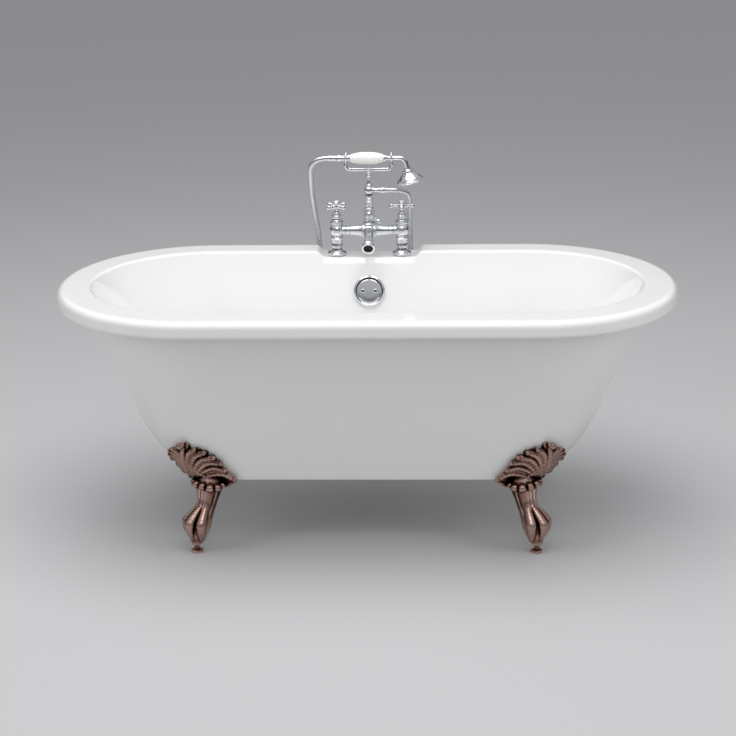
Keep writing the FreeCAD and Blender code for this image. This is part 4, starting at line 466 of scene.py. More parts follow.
def wall_rings():
    """Rings of the inside, from the rolled edge down to the flat of the floor."""
    heights = [RIM_TOP - RIM_EDGE + RIM_EDGE * math.cos(math.radians(a)) for a in range(0, 71, 7)]
    heights += [*np.linspace(645.5, 300, 44), *np.linspace(297, 246, 16)]
    heights += [CAVITY_FLOOR + 120 * (1 - math.cos(math.radians(a))) for a in range(46, -1, -4)]
    return [level_ring(cavity_at, z) for z in heights]


def morph_to_hole(outline, centre, radius, height, steps):
    """Rings that shrink an outline to a round hole."""
    target = outline.copy()
    away = outline[:, :2] - np.array(centre)
    away /= np.linalg.norm(away, axis=1)[:, None]
    target[:, :2] = np.array(centre) + away * radius
    target[:, 2] = height
    return between(outline, target, steps)


def overflow_frame():
    """Middle of the overflow on the inside wall, the way that it faces and the way up its face."""
    slope = math.radians(WALL_SLOPE_HIGH)
    across, rise = math.cos(slope), math.sin(slope)
    return np.array([[0, cavity_at(OVERFLOW_Z)[1], OVERFLOW_Z], [0, -across, rise], [0, rise, across]])


def build_inner_shell():
    """The inside and the rim in one skin, sunk for the tap deck and open at the waste and the overflow."""
    rings = rim_rings() + wall_rings()
    rings += morph_to_hole(rings[-1], (0, WASTE_Y), WASTE_HOLE, CAVITY_FLOOR, 14)
    throat = rings[-1].copy()
    throat[:, 2] = CAVITY_FLOOR - 6
    rings.append(throat)
    points = np.array(rings)
    for row in points[:len(rim_rings()) + 30]:
        drop = deck_drop(row[:, 0], row[:, 1])
        lowered = row[:, 2] - drop * np.clip(1 - (RIM_TOP - row[:, 2]) / 33, 0, 1)
        row[:, 2] = np.minimum(lowered, RIM_TOP - drop)
    flat = points.reshape(-1, 3)
    wall, out, _ = overflow_frame()
    faces = np.array(ring_faces(len(rings), RING))
    middles = flat[faces].mean(1) - wall
    depths = middles @ out
    beside = np.linalg.norm(middles - np.outer(depths, out), axis=1)
    hole = (beside < OVERFLOW_HOLE) & (np.abs(depths) < 12)
    shell = mesh_object("bath_inner", flat, faces[~hole].tolist(), 50)
    settle(shell, ACRYLIC, ROOT, "acrylic_white", "inner_shell")


def body_end_arc():
    """Middle and radius of the arc under the outer skin's ends."""
    curve_x = BODY_TOP_HALF_LENGTH - (FLANGE_HEIGHT - BODY_CURVE_Z) * math.tan(BODY_END_SLOPE)
    dx, dz = BODY_FOOT_HALF_LENGTH - curve_x, BASE_HEIGHT - BODY_CURVE_Z
    across, rise = math.cos(BODY_END_SLOPE), math.sin(BODY_END_SLOPE)
    radius = (dx * dx + dz * dz) / (2 * (-dx * across + dz * rise))
    return curve_x - radius * across, BODY_CURVE_Z + radius * rise, radius


ARC_X, ARC_Z, ARC_RADIUS = body_end_arc()
BODY_SIDE_RUN = (BODY_TOP_HALF_WIDTH - BODY_FOOT_HALF_WIDTH) / (FLANGE_HEIGHT - BASE_HEIGHT)


def body_at(height):
    """Half length and half width of the outer skin at a height."""
    half_width = BODY_FOOT_HALF_WIDTH + BODY_SIDE_RUN * (height - BASE_HEIGHT)
    if height >= BODY_CURVE_Z:
        half_length = BODY_TOP_HALF_LENGTH - (FLANGE_HEIGHT - height) * math.tan(BODY_END_SLOPE)
    else:
        half_length = ARC_X + math.sqrt(ARC_RADIUS ** 2 - (ARC_Z - height) ** 2)
    return half_length, half_width


def build_outer_skin():
    """The skin from its flange under the lip down to its foot, with the opening over the waste."""
    rings = [stadium_ring(HALF_STRAIGHT, 368.7, FLANGE_HEIGHT)]
    rings.append(stadium_ring(HALF_STRAIGHT, 330, FLANGE_HEIGHT))
    levels = [(7, FLANGE_HEIGHT), (3.5, 616.8), (1.2, 614.6), (0.2, 611.6)]
    levels += [(0, z) for z in (*np.linspace(608, 331, 28), *np.linspace(325, 189, 26))]
    levels += [(-0.3, 186.5), (-1.2, 184.4), (-3.2, 183.2), (-5.5, 183)]
    rings += [level_ring(body_at, z, wider) for wider, z in levels]
    edge = rings[-1]
    box = edge.copy()
    middle, half = np.array([0, 108]), np.array([60, 98])
    away = edge[:, :2] - middle
    reach = (half / np.maximum(np.abs(away), 1e-6)).min(1)
    box[:, :2] = middle + away * reach[:, None]
    rings += between(edge, box, 4)
    up = box.copy()
    up[:, 2] = BASE_HEIGHT + 4
    rings.append(up)
    skin = mesh_object("bath_outer", np.array(rings).reshape(-1, 3), ring_faces(len(rings), RING), 50)
    settle(skin, SKIN_WHITE, ROOT, "skin_white", "outer_skin")


build_inner_shell()
build_outer_skin()


# ---- feet ----
FOOT_TURN = math.radians(40)      # plan direction that the leg faces, from +Y towards +X
LEAF_MIDDLE = math.radians(28)    # place of the leaf's spine round the bath's end
FACING = np.array([math.sin(FOOT_TURN), math.cos(FOOT_TURN)])
BESIDE = np.array([math.cos(FOOT_TURN), -math.sin(FOOT_TURN)])


def ball(p, middle, radius):
    """Distance outside a ball."""
    return np.linalg.norm(p - np.array(middle), axis=1) - radius


def capsule(p, one, two):
    """Distance outside a tapered bar between two (x, y, z, radius) stations."""
    a, b, ra, rb = one[:3], two[:3], one[3], two[3]
    ab = b - a
    t = np.clip(((p - a) @ ab) / ab.dot(ab), 0, 1)
    return np.linalg.norm(p - a - t[:, None] * ab, axis=1) - (ra + (rb - ra) * t)


def blended(a, b, k):
    """Smooth union of two distances."""
    h = np.clip(0.5 + 0.5 * (b - a) / k, 0, 1)
    return b + (a - b) * h - k * h * (1 - h)


def merged(distances, k):
    """Smooth union of several distances, one after another."""
    return reduce(lambda a, b: blended(a, b, k), distances)


def chain(p, stations, k=4):
    """Smooth bar through stations, measured only near it."""
    stations = np.array(stations, float)
    reach = stations[:, 3].max() + 14
    low, high = stations[:, :3].min(0) - reach, stations[:, :3].max(0) + reach
    near = np.all((p > low) & (p < high), axis=1)
    out, q = np.full(len(p), 60.0), p[near]
    out[near] = merged([capsule(q, one, two) for one, two in zip(stations, stations[1:])], k)
    return out


def smooth_bar(p, stations, k, steps=3):
    """Bar through the stations' smooth curve, with more stations put between them."""
    s = np.array(stations, float)
    ends = np.vstack([2 * s[0] - s[1], s, 2 * s[-1] - s[-2]])
    out = []
    for i in range(1, len(ends) - 2):
        a, b, c, d = ends[i - 1:i + 3]
        for j in range(steps):
            t = j / steps
            out.append(0.5 * (2 * b + (c - a) * t + (2 * a - 5 * b + 4 * c - d) * t * t
                              + (3 * b - a - 3 * c + d) * t ** 3))
    out.append(s[-1])
    return chain(p, out, k)


def end_size(z):
    """Middle of the end's half circle along X and its radius, at heights of the skin near the feet."""
    low = np.maximum(z, BASE_HEIGHT - 40)
    width = BODY_FOOT_HALF_WIDTH + BODY_SIDE_RUN * (low - BASE_HEIGHT)
    length = ARC_X + np.sqrt(np.maximum(ARC_RADIUS ** 2 - (ARC_Z - low) ** 2, 1))
    return length - width, width


def body_distance(p):
    """Distance outside the outer skin's face, near the foot; the face's slope makes it a little less."""
    straight, width = end_size(p[:, 2])
    return (np.hypot(np.maximum(p[:, 0] - straight, 0), p[:, 1]) - width) * 0.983


def on_body(angle, z, lift):
    """Point off the outer skin, at an angle round its end and a height."""
    straight, width = end_size(z)
    if angle < 0:
        return (straight + angle * width, width + lift, z)
    return (straight + (width + lift) * math.sin(angle), (width + lift) * math.cos(angle), z)


# Flutes of the acanthus leaf on the side that faces along the bath: each runs up from the knee and curls
# outwards to its tip. Places are (along, height), and the other half of the leaf mirrors them.
FLUTES = [
    [(411, 172), (383, 168), (356, 171), (333, 186)],
    [(414, 182), (390, 203), (362, 209), (334, 191)],
    [(417, 186), (405, 213), (383, 226), (357, 217)],
    [(420, 188), (414, 219), (396, 240), (367, 238)],
    [(424, 190), (424, 225), (411, 249), (384, 254)],
    [(428, 190), (434, 228), (427, 256), (407, 267)],
    [(432, 190), (443, 229), (444, 260), (431, 273)],
]
SPINE = [(437, 188), (449, 222), (457, 254), (461, 283)]


def leaf_stations():
    """Stations of every flute, front half, spine and mirrored half, with a thinner one between each two."""
    def place(x, z, lift, mirrored_half):
        straight, width = end_size(z)
        angle = math.asin(min((x - straight) / width, 0.99)) if x > straight else (x - straight) / width
        if mirrored_half:
            away = LEAF_MIDDLE - angle
            angle = LEAF_MIDDLE + 0.74 * away
            z = z - 34 * away * max(z - 190, 0) / 60
        return on_body(angle, z, lift)

    lifts, radii = (26, 21, 15, 12), (5.5, 7.6, 8.4, 6.5)
    out = []
    for other in (False, True):
        extra = 5 if other else 0
        for i, flute in enumerate(FLUTES):
            thin = 0.62 if i == 0 else 1
            out.append([(*place(x, z, lift + extra * (k == 3), other), r * thin)
                        for k, ((x, z), lift, r) in enumerate(zip(flute, lifts, radii))])
            if i in (1, 3, 5):
                after = FLUTES[i + 1]
                out.append([(*place((x + u) / 2, (z + v) / 2, lift + 3, other), r * 0.38)
                            for (x, z), (u, v), lift, r in zip(flute, after, lifts, radii)])
    out.append([(*place(x, z, lift, False), r) for (x, z), lift, r in zip(SPINE, lifts, (7, 10, 10, 7))])
    return out


def leaf_distance(p):
    """Lobes of the leaf, a plate behind them that closes it, and the knob over its spine."""
    lobes, sheets = [], []
    root = np.array([PAD_X - 46, PAD_Y - 60])
    for i, stations in enumerate(leaf_stations()):
        lobe = smooth_bar(p, stations, 3)
        tip = np.array(stations[-1])
        if tip[3] > 5:
            lobe = blended(lobe, ball(p, tip[:3] + (0, 3.5, 1), tip[3] * 0.95), 2)
        lobes.append(lobe)
        under = np.array(stations, float)
        inward = root - under[:, :2]
        inward /= np.linalg.norm(inward, axis=1)[:, None]
        under += np.c_[inward * 13, np.zeros(len(under)), np.ones(len(under))]
        sheet = chain(p, under)
        if i < 2:
            behind = under + np.c_[inward * 12, np.zeros(len(under)), np.full(len(under), 3.0)]
            sheet = blended(sheet, chain(p, behind), 4)
        sheets.append(sheet)
    knob = ball(p, on_body(LEAF_MIDDLE - 0.02, 281, 17), 9.5)
    return blended(blended(merged(lobes, 1.3), merged(sheets, 4), 1.5), knob, 1.5)


# Leg: height, place of its middle behind the pad, half width across and half depth.
LEG = np.array([(24, -4, 17, 17), (36, -5, 20, 20), (60, -12, 29, 29), (76, -14, 31, 31), (92, -20, 31, 29),
                (105, -28, 30, 26), (118, -37, 29.5, 24), (135, -45, 31, 24), (155, -50, 37, 27),
                (172, -52, 41, 31), (186, -54, 36, 26), (205, -58, 26, 20), (240, -60, 14, 12)], float)


def leg_distance(p):
    """Leg from the knee down to the claw, with deep flutes that part into the toes."""
    z = p[:, 2]
    heights = np.linspace(LEG[0, 0], LEG[-1, 0], 200)
    table = [np.convolve(np.pad(np.interp(heights, LEG[:, 0], LEG[:, i]), 6, mode="edge"), np.ones(13) / 13,
                         mode="valid") for i in (1, 2, 3)]
    middle, across, deep = (np.interp(z, heights, column) for column in table)
    flat = p[:, :2] - np.array([PAD_X, PAD_Y])
    s, t = flat @ FACING - middle, flat @ BESIDE
    turn = np.arctan2(t / across, s / deep)
    d = (np.hypot(t / across, s / deep) - 1) * np.minimum(across, deep)
    part = 0.17 + 0.30 * np.clip((120 - z) / 26, 0, 1)
    fade = np.clip((178 - z) / 14, 0, 1) * np.clip((z - 76) / 16, 0, 1)
    upper = np.clip((z - 104) / 16, 0, 1)
    for place, depth, width in ((part, 3.8, 0.085), (1.18, 3, 0.12)):
        for side in (place, -place):
            d = d + depth * fade * np.exp(-((turn - side) / width) ** 2)
    d = d + 1.6 * fade * upper * np.exp(-(turn / 0.05) ** 2)
    return np.maximum(d, np.maximum(24 - z, z - 250))


def claw_distance(p):
    """Toes closed over a ball, on a round seat for the levelling stud."""
    middle = np.array([PAD_X, PAD_Y]) - 13 * FACING
    toes = []
    for angle, share in ((-52, 1), (0, 1.04), (52, 1), (180, 0.82)):
        t = math.radians(angle)
        out = math.cos(t) * FACING + math.sin(t) * BESIDE
        top = 0 if angle == 180 else 1

        def at(reach, z, r):
            return (*(middle + out * reach * share - FACING * max(z - 80, 0) * 0.55 * top), z, r)
        bones = ((14, 118, 7), (23, 102, 10), (32, 84, 12), (34, 68, 10), (30, 54, 8.5))
        toe = smooth_bar(p, [at(*bone) for bone in bones], 3)
        toe = blended(toe, ball(p, at(33, 82, 0)[:3], 13.2), 3)
        talon = smooth_bar(p, [at(31, 56, 6.5), at(28, 44, 5.5), at(21, 35, 4), at(15, 31, 2.4)], 2)
        toes.append(blended(toe, talon, 0.8))
    held = ball(p, (*(middle + 5 * FACING), 56), 26)
    seat = np.maximum(np.hypot(p[:, 0] - PAD_X, p[:, 1] - PAD_Y) - 16, np.abs(p[:, 2] - 32) - 2)
    return blended(blended(merged(toes, 1.6), held, 0.8), seat, 2)


def beads_distance(p):
    """Row of beads round the top of the neck, under the leaf."""
    beads = []
    for angle, z, r in ((-98, 177, 8), (-72, 175, 9.5), (-42, 175, 10.5), (-12, 177, 9.5), (16, 177, 10),
                        (46, 175, 10.5), (76, 175, 9.5), (102, 177, 8)):
        t = math.radians(angle)
        place = np.array([PAD_X, PAD_Y]) + FACING * (-52 + 33 * math.cos(t)) + BESIDE * 44 * math.sin(t)
        beads.append(ball(p, [*place, z], r))
    return merged(beads, 1)


def foot_distance(p):
    """The whole foot, cut to lie on the outer skin and to stand on its levelling stud."""
    d = blended(leg_distance(p), claw_distance(p), 3)
    d = blended(d, leaf_distance(p), 2.5)
    d = blended(d, beads_distance(p), 1.2)
    body = body_distance(p)
    high = p[:, 2] > BASE_HEIGHT
    under = np.where(body < 0.3, p[:, 2] - (BASE_HEIGHT - 0.2), -50)
    d = np.maximum(d, np.where(high, 0.3 - body, under))
    return np.maximum(d, 30 - p[:, 2])


def surface_net(values, origin, step):
    """Closed mesh of the zero level of a grid of distances."""
    inside = values < 0
    shape = np.array(values.shape)
    corners = [(i, j, k) for i in (0, 1) for j in (0, 1) for k in (0, 1)]
    cells = np.zeros(shape - 1, int)
    for i, j, k in corners:
        cells += inside[i:shape[0] - 1 + i, j:shape[1] - 1 + j, k:shape[2] - 1 + k]
    active = np.argwhere((cells > 0) & (cells < 8))
    index = np.full(tuple(shape - 1), -1)
    index[tuple(active.T)] = np.arange(len(active))
    total, count = np.zeros((len(active), 3)), np.zeros(len(active))
    edges = [(a, b) for a in range(8) for b in range(a + 1, 8)
             if sum(abs(corners[a][m] - corners[b][m]) for m in range(3)) == 1]
    for a, b in edges:
        ca, cb = np.array(corners[a]), np.array(corners[b])
        va, vb = values[tuple((active + ca).T)], values[tuple((active + cb).T)]
        cross = (va < 0) != (vb < 0)
        t = np.where(cross, va / np.where(cross, va - vb, 1), 0)
        total += np.where(cross[:, None], active + ca + t[:, None] * (cb - ca), 0)
        count += cross
    points = origin + step * total / count[:, None]
    faces = []
    for axis in range(3):
        u, v = (axis + 1) % 3, (axis + 2) % 3
        places = np.argwhere(np.diff(inside, axis=axis))
        sides = places[:, [u, v]]
        places = places[np.all((sides > 0) & (sides < shape[[u, v]] - 1), axis=1)]
        quads = []
        for du, dv in ((0, 0), (1, 0), (1, 1), (0, 1)):
            cell = places.copy()
            cell[:, u] -= du
            cell[:, v] -= dv
            quads.append(index[tuple(cell.T)])
        quads = np.stack(quads, 1)
        outward = inside[tuple(places.T)]
        quads[~outward] = quads[~outward][:, ::-1]
        faces += [tuple(map(int, quad)) for quad in quads[quads.min(1) >= 0]]
    return points, faces


def foot_grid(step):
    """Distances on a fine grid, worked out only near the surface that a coarse grid finds."""
    low, high = np.array([308, 118, 26]), np.array([540, 300, 306])
    coarse = step * 4
    counts = np.ceil((high - low) / coarse).astype(int) + 1
    rough_axes = [low[i] + coarse * np.arange(counts[i]) for i in range(3)]
    rough = np.stack(np.meshgrid(*rough_axes, indexing="ij"), -1).reshape(-1, 3)
    rough_values = foot_distance(rough).reshape(counts)
    values = np.repeat(np.repeat(np.repeat(rough_values, 4, 0), 4, 1), 4, 2)
    near = np.argwhere(np.abs(values) < coarse * 2)
    for start in range(0, len(near), 400000):
        part = near[start:start + 400000]
        values[tuple(part.T)] = foot_distance(low + step * part)
    return values, low


def painted_light_values(points, faces):
    """How open each point of the foot lies, from 0 in a groove to 1 on a crest; the copper turns it into
    painted shade in the grooves and a painted highlight on the crests.
    """
    mesh = bpy.data.meshes.new("probe")
    mesh.from_pydata([tuple(p) for p in points], [], faces)
    normals = np.zeros(3 * len(points))
    mesh.vertices.foreach_get("normal", normals)
    bpy.data.meshes.remove(mesh)
    normals = normals.reshape(-1, 3)
    painted_light = np.zeros(len(points))
    for reach, weight in ((2.5, 0.4), (6, 0.35), (12, 0.25)):
        painted_light += weight * np.clip(foot_distance(points + normals * reach) / reach, -0.2, 1.2)
    return np.clip(painted_light * 0.85, 0, 1)


def build_feet():
    """One foot as a mesh, mirrored to the four corners."""
    step = 1.35
    values, low = foot_grid(step)
    points, faces = surface_net(values, low, step)
    painted_light = painted_light_values(points, faces)
    for name, sx, sy in (("rear_right", 1, 1), ("rear_left", -1, 1), ("front_right", 1, -1),
                         ("front_left", -1, -1)):
        q = points * np.array([sx, sy, 1])
        shown = faces if sx * sy > 0 else [tuple(reversed(f)) for f in faces]
        foot = mesh_object("claw_foot_" + name, q, shown, 180)
        # The attribute carries how open each point lies, which the copper turns into painted shade and
        # painted highlight.
        layer = foot.data.attributes.new("painted_light", "FLOAT_COLOR", "POINT")
        layer.data.foreach_set("color", np.stack([painted_light] * 3 + [np.ones(len(painted_light))], 1).ravel())
        settle(foot, COPPER_PAINTED_LIGHT, ROOT, "antique_copper", "foot_" + name)


build_feet()


# ---- mixer ----
HOUSING_TOP = BRIDGE_Z + 27
NUT_TOP = 687.5
HANDLE_BASE = HOUSING_TOP + 29
HANDLE_ARM_Z = HANDLE_BASE + 13
HANDLE_REACH = 28.2         # hub's axis to the middle of each ball
DIVERTER_Z = COLUMN_TOP - 10
DIVERTER_FRONT = MIXER_Y - 17.05
LEVER_DROP = math.radians(33)
SPOUT_BOSS = 22
SPOUT_REACH, SPOUT_DROP = 97, 22
CRADLE_BAR_Z = HANDSET_Z - 31
CRADLE_HALF_SPAN, CRADLE_BEND = 62, 12
FORK_ROOTS = ((-1, HANDSET_Z - 14.6), (1, HANDSET_Z - 12))
ROSE_PLACE = (104.77, MIXER_Y, 880.59)
ROSE_ANGLE = math.radians(76.5)     # below level, the way that the rose faces
SCREW_SPREAD = 17.5
# Dark metal: the aerator's own colour, and also painted shade behind the overflow plate and in its screw
# sockets.
DARK_METAL_AND_PAINTED_SHADE = plain("aerator_mesh_and_painted_shade", [0.07, 0.07, 0.075], 0.35, 260, 1)


def bead(height, radius, rise, width):
    """Profile points of a half-round bead that stands out of a radius at a height."""
    return [(radius + rise * math.sin(math.radians(a)), height - width / 2 * math.cos(math.radians(a)))
            for a in range(0, 181, 30)]


def metal(name, forms, body, *nodes, crease_angle=45, material=CHROME):
    """One piece of plated metal from several forms."""
    settle(joined(name, forms, crease_angle), material, body, "chrome", *nodes)


def build_mixer_body():
    """Valve housings, ringed bridge, column and the two bosses."""
    housing = [(0, NUT_TOP), (14, NUT_TOP), *bead(690, 14, 2, 3.4), (14.6, 693), (17.6, 697.5), (19.6, 702),
               (20, 706), (19.6, 711), (18, 716), (15.6, 719.5), *bead(721.6, 15, 2, 3.2), (15, 724.4),
               (17.4, 725.6), (18.3, 727), (18.3, 730.6), (17.4, 732.4), (14, HOUSING_TOP),
               (0, HOUSING_TOP)]
    forms = [turned(housing, (s * PILLAR_X, MIXER_Y, 0)) for s in (-1, 1)]
    arm = [(0, 0), (19, 0), (19, 16), *bead(18.6, 18.6, 1.9, 3.4), (17.8, 22), (15.6, 29), (13.8, 38),
           (12.8, 48), *bead(52.5, 12.6, 2.6, 3.8), (12.2, 55.5), (12.2, 60), *bead(63, 12.2, 1.8, 2.8),
           *bead(67.4, 12.2, 3.4, 4.6), (12.4, 70.5), (13, 76), (13, 84)]
    forms += [turned(arm, (0, MIXER_Y, BRIDGE_Z), (side, 0, 0)) for side in (-1, 1)]
    column = [(0, 684), (3.5, 684.4), (5, 686.4), (3.8, 688.2), (9, 689), (14, 690.6), (16.6, 694),
              (16.8, 722), *bead(725, 16.2, 2.6, 4.2), (15.2, 728.5), (13.6, 733),
              *bead(736.4, 13.2, 2.4, 3.2), (12.6, 740), (12.8, 744), *bead(747, 13.2, 2, 2.8),
              (13.2, 749.5), (13.2, 756), *bead(759, 12.8, 2.6, 3.6), (11.6, 761.6), (9.6, COLUMN_TOP),
              (0, COLUMN_TOP)]
    forms.append(turned(column, (0, MIXER_Y, 0)))
    boss = [(0, 0), (15.4, 6), (15.4, 17), *bead(19.4, 15, 2.4, 3.6), (14.4, SPOUT_BOSS), (0, SPOUT_BOSS)]
    forms.append(turned(boss, (0, MIXER_Y, BRIDGE_Z), (0, -1, 0)))
    stub = [(0, 4), (8.4, 8), (8.4, 12.5), *bead(14.4, 8.2, 1.2, 2.4), (7.6, 16.8), (0, 16.8)]
    forms.append(turned(stub, (0, MIXER_Y, DIVERTER_Z), (0, -1, 0)))
    metal("mixer_body_ringed", forms, ROOT, "mixer_body", crease_angle=50)


def build_spout():
    """Curved spout with a ringed root, a flared mouth and the flow straightener inside it."""
    radius = (SPOUT_REACH ** 2 + SPOUT_DROP ** 2) / (2 * SPOUT_DROP)
    whole = math.atan2(SPOUT_REACH, radius - SPOUT_DROP)
    length, segments = radius * whole, 72
    across = np.array([1, 0, 0])

    def at(share):
        """Point of the spout's line, and the way up from it, square to the line."""
        t = whole * share
        y, z = MIXER_Y - SPOUT_BOSS - radius * math.sin(t), BRIDGE_Z - radius * (1 - math.cos(t))
        return np.array([0, y, z]), np.array([0, -math.sin(t), math.cos(t)])

    def around(share, reach, count):
        """Points evenly round the spout's line."""
        point, up = at(share)
        turns = [2 * math.pi * i / count for i in range(count)]
        return [point + reach * (math.cos(a) * across + math.sin(a) * up) for a in turns]

    outline = [(12, 0), (16.6, 0), (17.8, 2), (17.8, 4.6), (16.4, 6.2), (15.6, 7.4), (16.4, 9.4), (15.4, 11),
               (14.6, 20), (14, 34), (14, 50), (14.4, 64), (15.2, 76), (16, 84), (16.4, 86.5), (17.7, 88),
               (17.9, 91), (16.9, 92.6), (16.9, 94), (17.7, 95.4), (17.7, length - 1.2), (16.8, length),
               (13.6, length), (12.6, length - 1.4), (12, length - 14), (11.8, length - 20)]
    rows = softened(outline, 0.5)
    points = [point for r, s in rows for point in around(s / length, r, segments)]
    tube = (np.array(points), ring_faces(len(rows), segments))
    metal("spout_flared", [tube], ROOT, "spout", crease_angle=50)
    mouth, facing = at(1)[0], (0, -math.cos(whole), -math.sin(whole))
    plate = [(0, -9.4), (1.2, -9.4), (12.2, -9.4), (12.2, -7.6), (11.2, -7.2), (0, -7.2)]
    forms = [turned(plate, mouth, facing)]
    nozzle = [(0, -7.4), (1.3, -7.4), (1.3, -5.6), (0.8, -5.2), (0, -5.2)]
    for count, reach in ((6, 3.6), (12, 7.2)):
        forms += [turned(nozzle, place, facing, 14, 0.2) for place in around(1, reach, count)]
    metal("spout_mesh", forms, ROOT, "spout_aerator", crease_angle=50, material=DARK_METAL_AND_PAINTED_SHADE)


def build_crosshead(x, turn, side, body):
    """Four-armed handle with ringed arms, ball ends and a button in a metal rim."""
    base = (x, MIXER_Y, HANDLE_BASE)
    hub = [(0, 0), (6.4, 0), (7.4, 1.2), (6.4, 2.6), (6.2, 4), (8.2, 5.6), (10.4, 8.5), (11.2, 12),
           (10.8, 15.6), (9.4, 18), (8.8, 19.2), *bead(20.6, 8.8, 1.4, 2.4), (8.4, 22), (0, 22)]
    forms = [turned(hub, base, segments=56)]
    arm = [(0, 0), (6.4, 6), (6.4, 10.2), *bead(11.8, 5.6, 1.4, 2.4), (4.7, 13.8), (4.3, 15.6), (4.5, 17.6),
           (5.2, 19.6), *bead(21.2, 5, 1.5, 2.2), (4.4, 22.8), (4.4, 24), (0, 25)]
    middle = np.array([x, MIXER_Y, HANDLE_ARM_Z])
    for i in range(4):
        t = math.radians(turn + 90 * i)
        out = np.array([math.cos(t), math.sin(t), 0])
        forms.append(turned(arm, middle, out, 32, 0.4))
        forms.append(globe(6.6, middle + HANDLE_REACH * out))
    metal("handle_" + side, forms, body, "crosshead_" + side)
    rim = [(6.6, 22), (8.8, 22), (9.4, 23), (8.8, 24.6), (7.6, 25.4), (6.6, 25.4)]
    metal("button_rim_" + side, [turned(rim, base, segments=48)], body)
    r, rise, edge = 6.7, 3.6, 25
    dome = [(0, 22.2), (r, 22.2), (r, edge)]
    dome += [(r * math.cos(t), edge + rise * math.sin(t)) for t in map(math.radians, range(15, 91, 15))]
    button = joined("button_" + side, [turned(dome, base, segments=48, soften=0)], 45)
    settle(button, PORCELAIN, body, "porcelain", "index_" + side)


def build_lever():
    """Lever of the diverter, with a collar and a ball at its end."""
    out = np.array([math.cos(LEVER_DROP), 0, -math.sin(LEVER_DROP)])
    middle = np.array([0, DIVERTER_FRONT - 3.5, DIVERTER_Z])
    hub = [(0, 0), (6.8, 0), (7.4, 1), (7.4, 5.6), (6.4, 6.8), (3.4, 8), (0, 8.2)]
    arm = [(0, 0), (4.9, 5), (4.9, 8), *bead(9.6, 4.4, 1.3, 2), (4, 11.4), (3.8, 16), (4.2, 20),
           *bead(22.4, 4.4, 1.6, 2.4), (4, 24.2), (0, 27)]
    forms = [turned(hub, (0, DIVERTER_FRONT, DIVERTER_Z), (0, -1, 0), 48), turned(arm, middle, out, 32, 0.4),
             globe(7, middle + 31 * out)]
    metal("diverter_handle", forms, "diverter", "diverter_lever")


def build_trim():
    """Beads, collars and sleeves that lie on the pillars, the bonnets, the cradle and the riser."""
    forms = []
    cap = [(11, HOUSING_TOP), (14.6, HOUSING_TOP), *bead(735, 13.6, 1.6, 3), (12.4, 737.4), (11.6, 741),
           (12.6, 745), *bead(747.4, 12.2, 1.5, 2.4), (11.2, 749.6), (9.4, 753.6), (7.4, 757.2),
           (6.4, 758.6), *bead(759.2, 6, 1.4, 1.6), (5.6, 760)]
    for s in (-1, 1):
        for profile in (bead(643, 24.9, 1.5, 2.6), bead(664, 12.6, 3, 3.2), cap):
            forms.append(turned(profile, (s * PILLAR_X, MIXER_Y, 0)))
    post = [(4, 830), (9.4, 830), (9.8, 832), (8.4, 834.6), (6, 838), (5, 842), (4.8, 850),
            *bead(853.4, 4.8, 2, 2.6), *bead(858, 5, 4.6, 5.6), *bead(862.6, 4.8, 2, 2.6), (4.8, 866),
            (5.2, 871), (6.6, 873.4), *bead(CRADLE_BAR_Z, 6.2, 2.4, 7), (6, 881.4), (3, 883), (0, 883.4)]
    forms.append(turned(post, (0, MIXER_Y, 0), segments=48))
    rings = [*bead(11, 5.4, 1.7, 2.8), *bead(47, 5.4, 1.3, 2.4)]
    for side, top in FORK_ROOTS:
        bar = np.linspace(3, CRADLE_HALF_SPAN - CRADLE_BEND, 12)
        line = [np.array([x * side, MIXER_Y, CRADLE_BAR_Z]) for x in bar]
        turns = [math.radians(90) * i / 14 for i in range(1, 15)]
        line += [line[-1] + CRADLE_BEND * np.array([side * math.sin(t), 0, 1 - math.cos(t)]) for t in turns]
        last_rise = max(top - CRADLE_BAR_Z - CRADLE_BEND, 0.8)
        line += [line[-1] + np.array([0, 0, rise]) for rise in (0.4, last_rise)]
        radii = [5.7] * (len(line) - 2) + [5.2] * 2
        forms.append(along(line, radii, 32, (0, 1, 0)))
        forms.append(turned(rings, (0, MIXER_Y, CRADLE_BAR_Z), (side, 0, 0), 40))
    riser = [(8.4, 763.4), (10.6, 764.6), *bead(768.6, 10.4, 2.8, 4.2), (9.6, 772), (9.2, 776),
             (9.6, 779.4), *bead(782, 9.8, 2, 2.8), (9, 784.8), (8.9, 793), *bead(796.4, 9.2, 2, 2.8),
             (9.4, 799), (10.4, 802.6), (9.8, 807.6)]
    forms.append(turned(riser, (0, MIXER_Y, 0), segments=56))
    metal("mixer_trim", forms, ROOT)


def build_fittings():
    """Ferrules of the hose and rings of the rose."""
    low_end = [(6.8, 36), (9.9, 36.2), (9.9, 41), (8.8, 42.4), *bead(45, 8.5, 0.9, 2.2), (8.4, 47.4),
               (7.7, 50)]
    metal("hose_ferrule", [turned(low_end, (0, MIXER_Y, OUTLET_Z), (1, 0, 0), 48)], ROOT)
    top_end = [(7.8, 97), (9, 97.2), (9, 100.4), (8.6, 101.4), *bead(103.4, 8.4, 0.8, 2), (8.4, 105.6),
               (8, 108.6), (7.6, 110)]
    forms = [turned(top_end, (0, MIXER_Y, HANDSET_Z), (-1, 0, 0), 48)]
    down = (math.cos(ROSE_ANGLE), 0, -math.sin(ROSE_ANGLE))
    neck_ring = [*bead(8, 12.8, 1.5, 3), (13, 10)]
    for ring in (neck_ring, bead(29.6, 30.4, 1.5, 2.8), bead(35.6, 34.8, 1.9, 4.2)):
        forms.append(turned(ring, ROSE_PLACE, down, 72))
    metal("handset_trim", forms, "handset")


